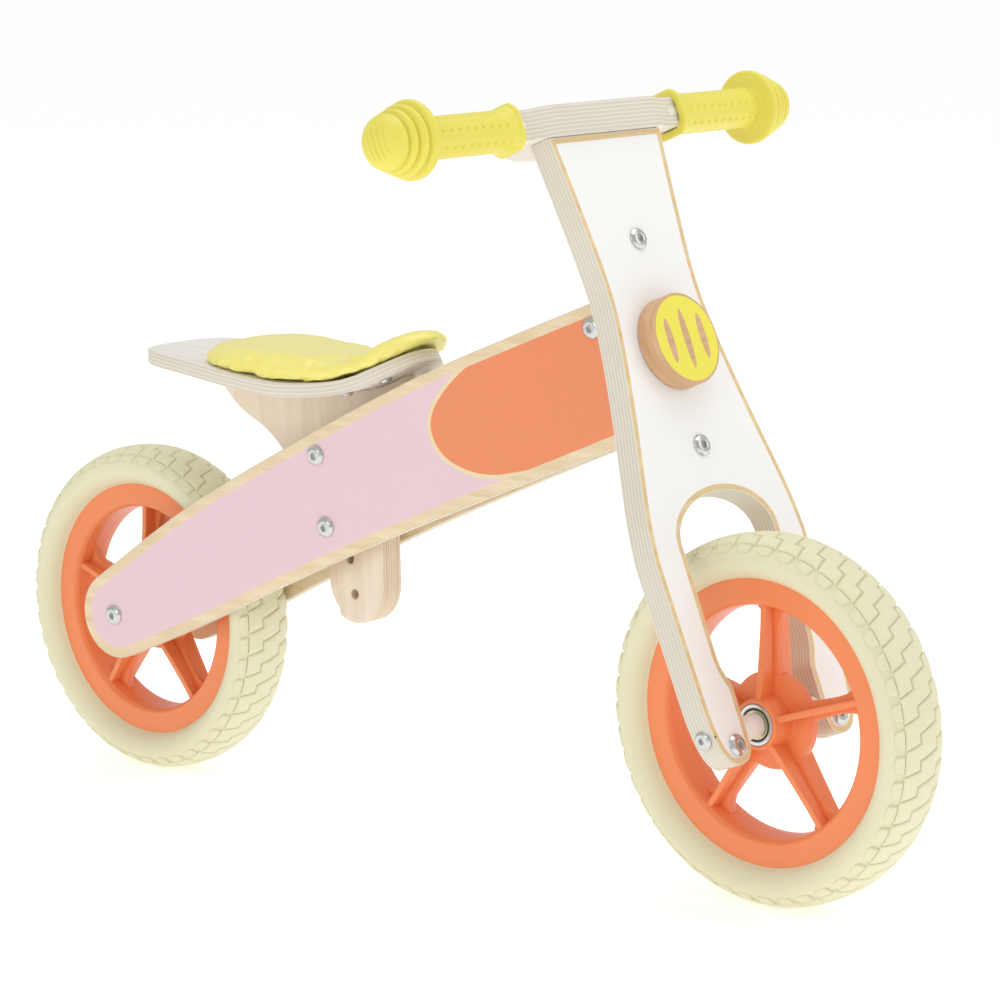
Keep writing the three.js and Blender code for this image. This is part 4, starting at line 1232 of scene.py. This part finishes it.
def swell(made):
    """Cloth under pressure, held where it rests on the plate; no point travels beyond the cap."""
    before = points_of(made)
    height, _ = above_plate(before)
    held = made.vertex_groups.new(name="held")
    held.add(np.nonzero(height < 2.0)[0].tolist(), 1.0, "REPLACE")
    cloth = made.modifiers.new("swell", "CLOTH").settings
    cloth.quality, cloth.mass = 6, 0.25
    cloth.use_pressure, cloth.uniform_pressure_force = True, 4.0
    cloth.tension_stiffness = cloth.compression_stiffness = 25.0
    cloth.bending_stiffness, cloth.shrink_min = 0.25, -0.05
    cloth.vertex_group_mass = "held"
    cloth.effector_weights.gravity = 0.0
    for step in range(1, 21):
        bpy.context.scene.frame_set(step)
    apply_modifiers(made)
    after = points_of(made)
    travel = (after - before) * 1000
    length = np.linalg.norm(travel, axis=1)
    scale = np.where(length > TRAVEL_CAP, TRAVEL_CAP / np.maximum(length, 1e-9), 1.0)
    made.data.vertices.foreach_set("co", (before + travel * scale[:, None] / 1000).ravel())
    bpy.context.scene.frame_set(1)


def puckered(points):
    """The cover's points with puckers where its edge is tucked in and folds where the nose turns up."""
    height, x = above_plate(points)
    y = points[:, 1] * 1000
    across, along = y / CUSHION_HALF, (x - CUSHION_MIDDLE) / CUSHION_LONG
    turn = np.arctan2(across, along)
    edge = np.clip(1 - np.abs(height - 3.0) / 7.0, 0, 1) * np.clip(np.hypot(across, along) * 3 - 2, 0, 1)
    tuck = np.sin(turn * 61 + 2.1 * np.sin(turn * 7)) * (0.55 + 0.45 * np.sin(turn * 11 + 1))
    out = np.column_stack((x - CUSHION_MIDDLE, y, np.zeros_like(x)))
    out /= np.maximum(np.linalg.norm(out, axis=1), 1e-6)[:, None]
    points += out * (tuck * edge * TUCK_DEEP - edge * TUCK_IN)[:, None] / 1000
    aside = np.abs(y)
    folds = sum(share * bell(x - lean * aside, start, width) for start, lean, width, share in FOLDS)
    folds *= np.clip((aside - 6) / 16, 0, 1) * np.clip((CUSHION_HALF - aside) / 20, 0, 1)
    points[:, 2] -= folds * np.clip(height / 8, 0, 1) * FOLD_DEEP / 1000
    return points


def make_cushion():
    made = cushion_start()
    remesh = made.modifiers.new("even", "REMESH")
    remesh.mode, remesh.voxel_size = "VOXEL", 0.0042
    apply_modifiers(made)
    ease = made.modifiers.new("ease", "SMOOTH")
    ease.factor, ease.iterations = 0.5, 4
    apply_modifiers(made)
    swell(made)
    finer = made.modifiers.new("finer", "SUBSURF")
    finer.levels = finer.render_levels = 1
    apply_modifiers(made)
    made.data.vertices.foreach_set("co", puckered(points_of(made)).ravel())
    made.data.materials.clear()
    made.data.materials.append(cover_material())
    made.data.shade_smooth()
    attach(made, "frame")
    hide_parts("seat_cushion")


make_cushion()


# ------------------------------------------------------------------ cross bolts and screws
# Zinc plated furniture bolts with flat bevelled heads and hexagon sockets, with the same head again on
# the far side in place of the nut, set on marks that say where each head sits and which way it faces.


def hexed(rows):
    """A turned piece whose rows may be pulled to a hexagon: rows of radius, place along Y, hexagon share."""
    verts, segments = [], 48
    for radius, along, share in rows:
        for i in range(segments):
            turn = 2 * math.pi * i / segments
            flat = math.cos(math.pi / 6) / math.cos((turn % (math.pi / 3)) - math.pi / 6)
            reach = radius * (1 - share + share * flat)
            verts.append((reach * math.cos(turn), along, reach * math.sin(turn)))
    ends = [tuple(range(segments)), tuple(range((len(rows) - 1) * segments, len(rows) * segments))[::-1]]
    return np.array(verts), walls(0, segments, len(rows)) + ends, 0


def bolt_head_part():
    """A washer-like foot, a bevelled crown and the socket sunk in it."""
    rows = [(5.0, -0.2, 0), (7.1, -0.2, 0), (7.5, 0.25, 0), (7.5, 1.0, 0), (7.3, 1.35, 0), (5.6, 2.75, 0),
            (5.1, 3.0, 0), (3.3, 3.1, 0), (2.95, 2.95, 1), (2.75, 2.7, 1), (2.7, 0.7, 1)]
    return hexed(rows)


def marks_tree():
    """Geometry nodes: a head set on each mark, turned to face as the mark says, at its size."""
    tree, start, end = copies_tree("heads_on_marks", [("Head", "Object")])
    head = add(tree, "GeometryNodeObjectInfo", {"Object": start.outputs["Head"]})
    facing = add(tree, "GeometryNodeInputNamedAttribute", {"Name": "facing"}, data_type="FLOAT_VECTOR")
    size = add(tree, "GeometryNodeInputNamedAttribute", {"Name": "size"}, data_type="FLOAT")
    turn = add(tree, "FunctionNodeAlignRotationToVector", {"Vector": facing.outputs[0]}, axis="Y")
    return set_copies(tree, start, end, {
        "Points": start.outputs["Geometry"], "Instance": head.outputs["Geometry"],
        "Rotation": turn.outputs[0], "Scale": size.outputs[0]})


heads_on_marks = marks_tree()


def heads(marks):
    """Bolt heads at rows of (place in metres, direction, size)."""
    verts, faces, _ = bolt_head_part()
    head = shape_of("one_head", verts / 1000, faces, [zinc], smooth_angle=24)
    mesh = bpy.data.meshes.new("marks")
    mesh.from_pydata([tuple(place) for place, _, _ in marks], [], [])
    mesh.attributes.new("facing", "FLOAT_VECTOR", "POINT").data.foreach_set(
        "vector", np.array([way for _, way, _ in marks], np.float32).ravel())
    mesh.attributes.new("size", "FLOAT", "POINT").data.foreach_set(
        "value", np.array([size for _, _, size in marks], np.float32))
    made = bpy.data.objects.new("marks", mesh)
    bpy.context.scene.collection.objects.link(made)
    found = with_nodes(made, heads_on_marks, {"Head": head, "Finish": zinc})
    bpy.data.objects.remove(head)
    return found


def shank(low, high):
    """A bolt's rod between two places in metres."""
    way = Vector(high) - Vector(low)
    end = way.length * 1000
    verts, faces, _ = turned(soften([(0, 0), (STUD_R, 0), (STUD_R, end), (0, end)], 0.4), 20)
    spin = np.array(way.to_track_quat("Y", "X").to_matrix())
    return verts @ spin.T / 1000 + np.array(low), faces, 0


def make_bolts(name, body, marks, shanks, nodes):
    parts = [(*heads(marks), 0)] + [shank(a, b) for a, b in shanks]
    verts, faces, slots = joined(parts)
    made = shape_of(name, verts, faces, [zinc], slots, smooth_angle=24)
    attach(made, body)
    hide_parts(*nodes)


def middle_of(node):
    low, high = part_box(node)
    return (np.array(low) + np.array(high)) / 2


def side_marks(node, side):
    """Where a head sits on the outside of a panel, on the splayed face, and the way it faces."""
    centre = middle_of(node)
    x = (centre[0] - rear_hub[0]) * 1000
    tilt = SPLAY if x < BEND_X else 0.0
    out = PANEL_FRONT_HALF + max(0.0, BEND_X - x) * math.tan(SPLAY)
    place = np.array([centre[0], side * out / 1000, centre[2]])
    return place, (math.sin(tilt), side * math.cos(tilt), 0.0), 1.0


frame_marks, frame_shanks, frame_nodes = [], [], []
for bolt in ("head_upper", "head_lower", "post_lower", "post_upper"):
    right, left = side_marks(bolt + "_bolt", -1), side_marks(bolt + "_bolt", 1)
    frame_marks += [right, left]
    frame_shanks.append((right[0], left[0]))
    frame_nodes += [bolt + "_bolt", bolt + "_nut"]
for label, side in (("right", -1), ("left", 1)):
    mark = side_marks("rear_axle_bolt_" + label, side)
    axle_end = rear_hub + np.array([0, side * (REAR_SPACER_END + 0.4) / 1000, 0])
    frame_marks.append(mark)
    frame_shanks.append((axle_end, mark[0]))
    frame_nodes.append("rear_axle_bolt_" + label)
make_bolts("frame_cross_bolts", "frame", frame_marks, frame_shanks, frame_nodes)

BLOCK_BACK, LEG_SHANK_BACK, AXLE_SHANK_Y, AXLE_HEAD_SIZE = -30.0, -4.0, 61.0, 0.86
fork_marks, fork_shanks, fork_nodes = [], [], []
for bolt, v in (("fork_upper", UPPER_BOLT_V), ("fork_lower", LOWER_BOLT_V)):
    front, back = on_fork([(FORK_PLY / 2, 0, v)])[0], on_fork([(BLOCK_BACK, 0, v)])[0]
    fork_marks += [(front, tuple(fork_ahead), 1.0), (back, tuple(-fork_ahead), 1.0)]
    fork_shanks.append((front, back))
    fork_nodes += [bolt + "_bolt", bolt + "_nut"]
for label, side in (("right", -1), ("left", 1)):
    face = on_fork([(FORK_PLY / 2, side * LEG_BOLT_Y, LEG_BOLT_V)])[0]
    deep = on_fork([(LEG_SHANK_BACK, side * LEG_BOLT_Y, LEG_BOLT_V)])[0]
    outside = on_fork([(0, side * (LEG_HALF + 1.6), 0)])[0]
    fork_marks += [(face, tuple(fork_ahead), 1.0), (outside, (0.0, side, 0.0), AXLE_HEAD_SIZE)]
    fork_shanks += [(face, deep), (outside, on_fork([(0, side * AXLE_SHANK_Y, 0)])[0])]
    fork_nodes += ["leg_bolt_" + label, "front_axle_bolt_" + label]
make_bolts("fork_bolts", "fork", fork_marks, fork_shanks, fork_nodes)


# ------------------------------------------------------------------ grips
# Soft yellow rubber grips: a squared flaring collar at the inner end, a tube pressed with
# rows of dimples, and a ringed mushroom cap with grooves moulded in its domed end.

GRIP_START, GRIP_R, GRIP_END = 81.0, 14.0, 206.0
CAP_START, DOME_START, DOME_R = 168.0, 193.4, 18.4
DIMPLE_ROWS, DIMPLE_PITCH, DIMPLE_R, DIMPLE_DEEP = 8, 7.7, 1.8, 1.3
GROOVE_PITCH, GROOVE_HALF, DOME_GROOVE_DEEP = 4.4, 0.8, 1.3
SQUARE_MOST, TURNS = 1.13, 160
grip_rubber = moulding("yellow_grip_rubber", linear(231, 220, 90), 0.44, 1800.0, 0.00004, coat=0.1, glow=0.03)
turns = np.linspace(0, 2 * math.pi, TURNS, endpoint=False)
# How far a rounded square reaches past its inscribed circle, at each turn.
square = np.minimum((np.abs(np.cos(turns)) ** 4 + np.abs(np.sin(turns)) ** 4) ** -0.25, SQUARE_MOST) - 1


def grip_profile():
    """Rows of radius and place along the grip: collar, tube, three cap rings and dome."""
    collar = [(14.4, 0.0), (15.5, 0.1), (16.4, 1.3), (16.2, 3.0), (15.2, 4.2), (14.9, 6.0), (14.4, 10.0),
              (GRIP_R, 15.0)]
    rows = list(spline([(radius, GRIP_START + along) for radius, along in collar], 4))
    rows += [(GRIP_R, along) for along in np.arange(GRIP_START + 16.0, CAP_START, 0.55)]
    cap = [(GRIP_R, 168.4), (15.2, 169.8), (24.4, 170.4), (25.9, 171.6), (25.9, 174.6), (24.6, 176.0),
           (21.4, 177.2), (21.4, 178.2), (23.4, 179.2), (23.5, 182.0), (22.3, 183.4), (18.8, 184.4),
           (18.8, 185.4), (20.8, 186.2), (20.9, 188.8), (19.8, 190.2), (16.6, 191.0), (16.6, 192.0),
           (DOME_R, DOME_START)]
    rows += soften(cap, 1.1, 3)
    high = GRIP_END - DOME_START
    for rise in np.linspace(0.05, 1, 40) * math.pi / 2:
        radius = DOME_R * math.cos(rise) ** 0.8 if rise < 1.57 else 0.0
        rows.append((radius, DOME_START + high * math.sin(rise)))
    return np.array([tuple(row) for row in rows])


def dimples(along):
    """How deep the tube is pressed at each row and turn; every other row of dimples is shifted."""
    row_step = 2 * math.pi / DIMPLE_ROWS
    off_row = (turns + row_step / 2) % row_step - row_step / 2
    row_number = np.round(turns / row_step) % DIMPLE_ROWS
    first = GRIP_START + 13.0 + (row_number % 2) * DIMPLE_PITCH / 2
    off_pitch = (along - first + DIMPLE_PITCH / 2) % DIMPLE_PITCH - DIMPLE_PITCH / 2
    on_tube = (along > GRIP_START + 9.0) & (along < CAP_START - 1.0)
    far = np.hypot(off_row * GRIP_R, off_pitch) / DIMPLE_R
    return on_tube * DIMPLE_DEEP * np.clip(1 - far**2, 0, 1)


def dome_grooves(x, z):
    """How deep the dome is grooved: bars side by side that fade out before its edge."""
    groove = bell((x + GROOVE_PITCH / 2) % GROOVE_PITCH, GROOVE_PITCH / 2, GROOVE_HALF)
    reach = 11.5 * np.sqrt(np.clip(1 - (x / 16.5) ** 2, 0.02, 1))
    fade = np.clip(1 - (x / 15.4) ** 2, 0, 1) * np.clip(1.15 - np.abs(z) / reach, 0, 0.35) / 0.35
    return DOME_GROOVE_DEEP * groove * fade


def make_grip(label, side):
    rows = grip_profile()
    radius, along = rows[:, 0][:, None], rows[:, 1][:, None]
    squared = square * np.clip((GRIP_START + 14.0 - along) / 11.0, 0, 1)
    reach = radius * (1 + squared) - dimples(along)
    x, z = reach * np.cos(turns), reach * np.sin(turns)
    y = np.broadcast_to(along, x.shape) - (along > DOME_START) * dome_grooves(x, z)
    bore_r = DOWEL_R + 0.2
    bore = [(14.4, GRIP_START, 1), (11.4, GRIP_START + 0.3, 1), (11.0, GRIP_START + 11.0, 1),
            (bore_r, GRIP_START + 14.0, 0), (bore_r, DOWEL_END + 0.8, 0)]
    verts = [np.stack([x, y, z], axis=2).reshape(-1, 3)]
    for inner, at, share in bore:
        hollow = inner * (1 + share * square)
        verts.append(np.column_stack((hollow * np.cos(turns), np.full(TURNS, at), hollow * np.sin(turns))))
    start, tip = x.size, x.size - TURNS
    last = start + (len(bore) - 1) * TURNS
    faces = walls(0, TURNS, len(rows)) + walls(start, TURNS, len(bore))
    faces += [tuple(range(tip, tip + TURNS)), tuple(range(last, last + TURNS))]
    placed = np.concatenate(verts) * (1, side, 1) + (BAR_AHEAD, 0, BAR_V)
    made = shape_of("grip_rubber_" + label, on_fork(placed), faces, [grip_rubber], smooth_angle=50)
    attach(made, "fork")
    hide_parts("grip_" + label)


make_grip("right", -1)
make_grip("left", 1)


# ------------------------------------------------------------------ pieces kept as measured
# The head tube, its pivot blocks, pin and washers, the post's wedges and the seat screws
# already have their true shape. They get the finish of the real ones, and the wood softened edges.

block_birch = moulding("block_birch", linear(224, 200, 160), 0.55, 260.0, 0.0001, amount=0.12)


def keep(node, look, soft_edge):
    made = frame["nodes"][node]
    made.data.materials.clear()
    made.data.materials.append(look)
    made.data.shade_smooth()
    weld = made.modifiers.new("weld", "WELD")
    weld.merge_threshold = 0.00001
    if soft_edge:
        bevel = made.modifiers.new("soft_edges", "BEVEL")
        bevel.width, bevel.segments = soft_edge, 2
        bevel.limit_method, bevel.angle_limit = "ANGLE", math.radians(40)
    split = made.modifiers.new("sharp", "EDGE_SPLIT")
    split.split_angle = math.radians(32)


for block in ("pivot_block_lower", "pivot_block_upper", "post_wedge_right", "post_wedge_left"):
    keep(block, block_birch, 0.0008)
for metal in ("head_tube", "steering_pin", "seat_screw_rear_right", "seat_screw_rear_left",
              "seat_screw_front_right", "seat_screw_front_left"):
    keep(metal, zinc, 0.0)
for washer in ("thrust_washer_lower", "thrust_washer_upper"):
    keep(washer, nylon, 0.0)


# ------------------------------------------------------------------ floor, light and camera
# A plain pale floor under soft white studio light, seen from ahead and to the right.


def make_floor():
    bpy.ops.mesh.primitive_plane_add(size=60)
    floor = bpy.context.object
    floor.name = "floor"
    look, _, shader = bare_material("pale_floor")
    shader.inputs["Base Color"].default_value = (0.93, 0.93, 0.93, 1)
    shader.inputs["Roughness"].default_value = 0.7
    shader.inputs["Emission Color"].default_value = (1, 1, 1, 1)
    shader.inputs["Emission Strength"].default_value = 0.4
    floor.data.materials.append(look)
    floor.location = (0, 0, -0.0003)


def make_light(name, place, target, size, power):
    data = bpy.data.lights.new(name, "AREA")
    data.shape, data.size, data.energy = "DISK", size, power
    made = bpy.data.objects.new(name, data)
    made.location = place
    made.rotation_euler = (Vector(target) - Vector(place)).to_track_quat("-Z", "Y").to_euler()
    bpy.context.scene.collection.objects.link(made)


def make_world():
    """White all round: seen as pure white, and a little weaker as light on the bike."""
    world = bpy.data.worlds.new("studio")
    world.use_nodes = True
    tree = world.node_tree
    seen = add(tree, "ShaderNodeLightPath").outputs["Is Camera Ray"]
    strength = add(tree, "ShaderNodeMapRange", {"Value": seen, "To Min": 0.63, "To Max": 1.0})
    tree.nodes["Background"].inputs["Color"].default_value = (1, 1, 1, 1)
    tree.links.new(strength.outputs[0], tree.nodes["Background"].inputs["Strength"])
    bpy.context.scene.world = world


def make_camera():
    data = bpy.data.cameras.new("camera")
    data.sensor_width, data.lens = 36.0, 128.6
    data.clip_start, data.clip_end = 0.1, 100
    made = bpy.data.objects.new("camera", data)
    right, up = (0.74181, 0.67039, -0.01551), (-0.10627, 0.14034, 0.98436)
    back = (0.66213, -0.72858, 0.17536)
    turned_to = Matrix((right, up, back)).transposed().to_4x4()
    made.matrix_world = Matrix.Translation((1.7081, -1.8164, 0.6829)) @ turned_to
    bpy.context.scene.collection.objects.link(made)
    bpy.context.scene.camera = made


make_floor()
make_light("overhead", (0.2, 0.3, 2.6), (0, 0, 0.2), 2.4, 21)
make_light("front_left", (2.4, 1.2, 1.6), (0.1, 0, 0.3), 1.8, 9)
make_light("front_right", (0.4, -2.8, 1.5), (0, 0, 0.3), 1.8, 12)
make_world()
bpy.context.scene.view_settings.view_transform = "Standard"
make_camera()
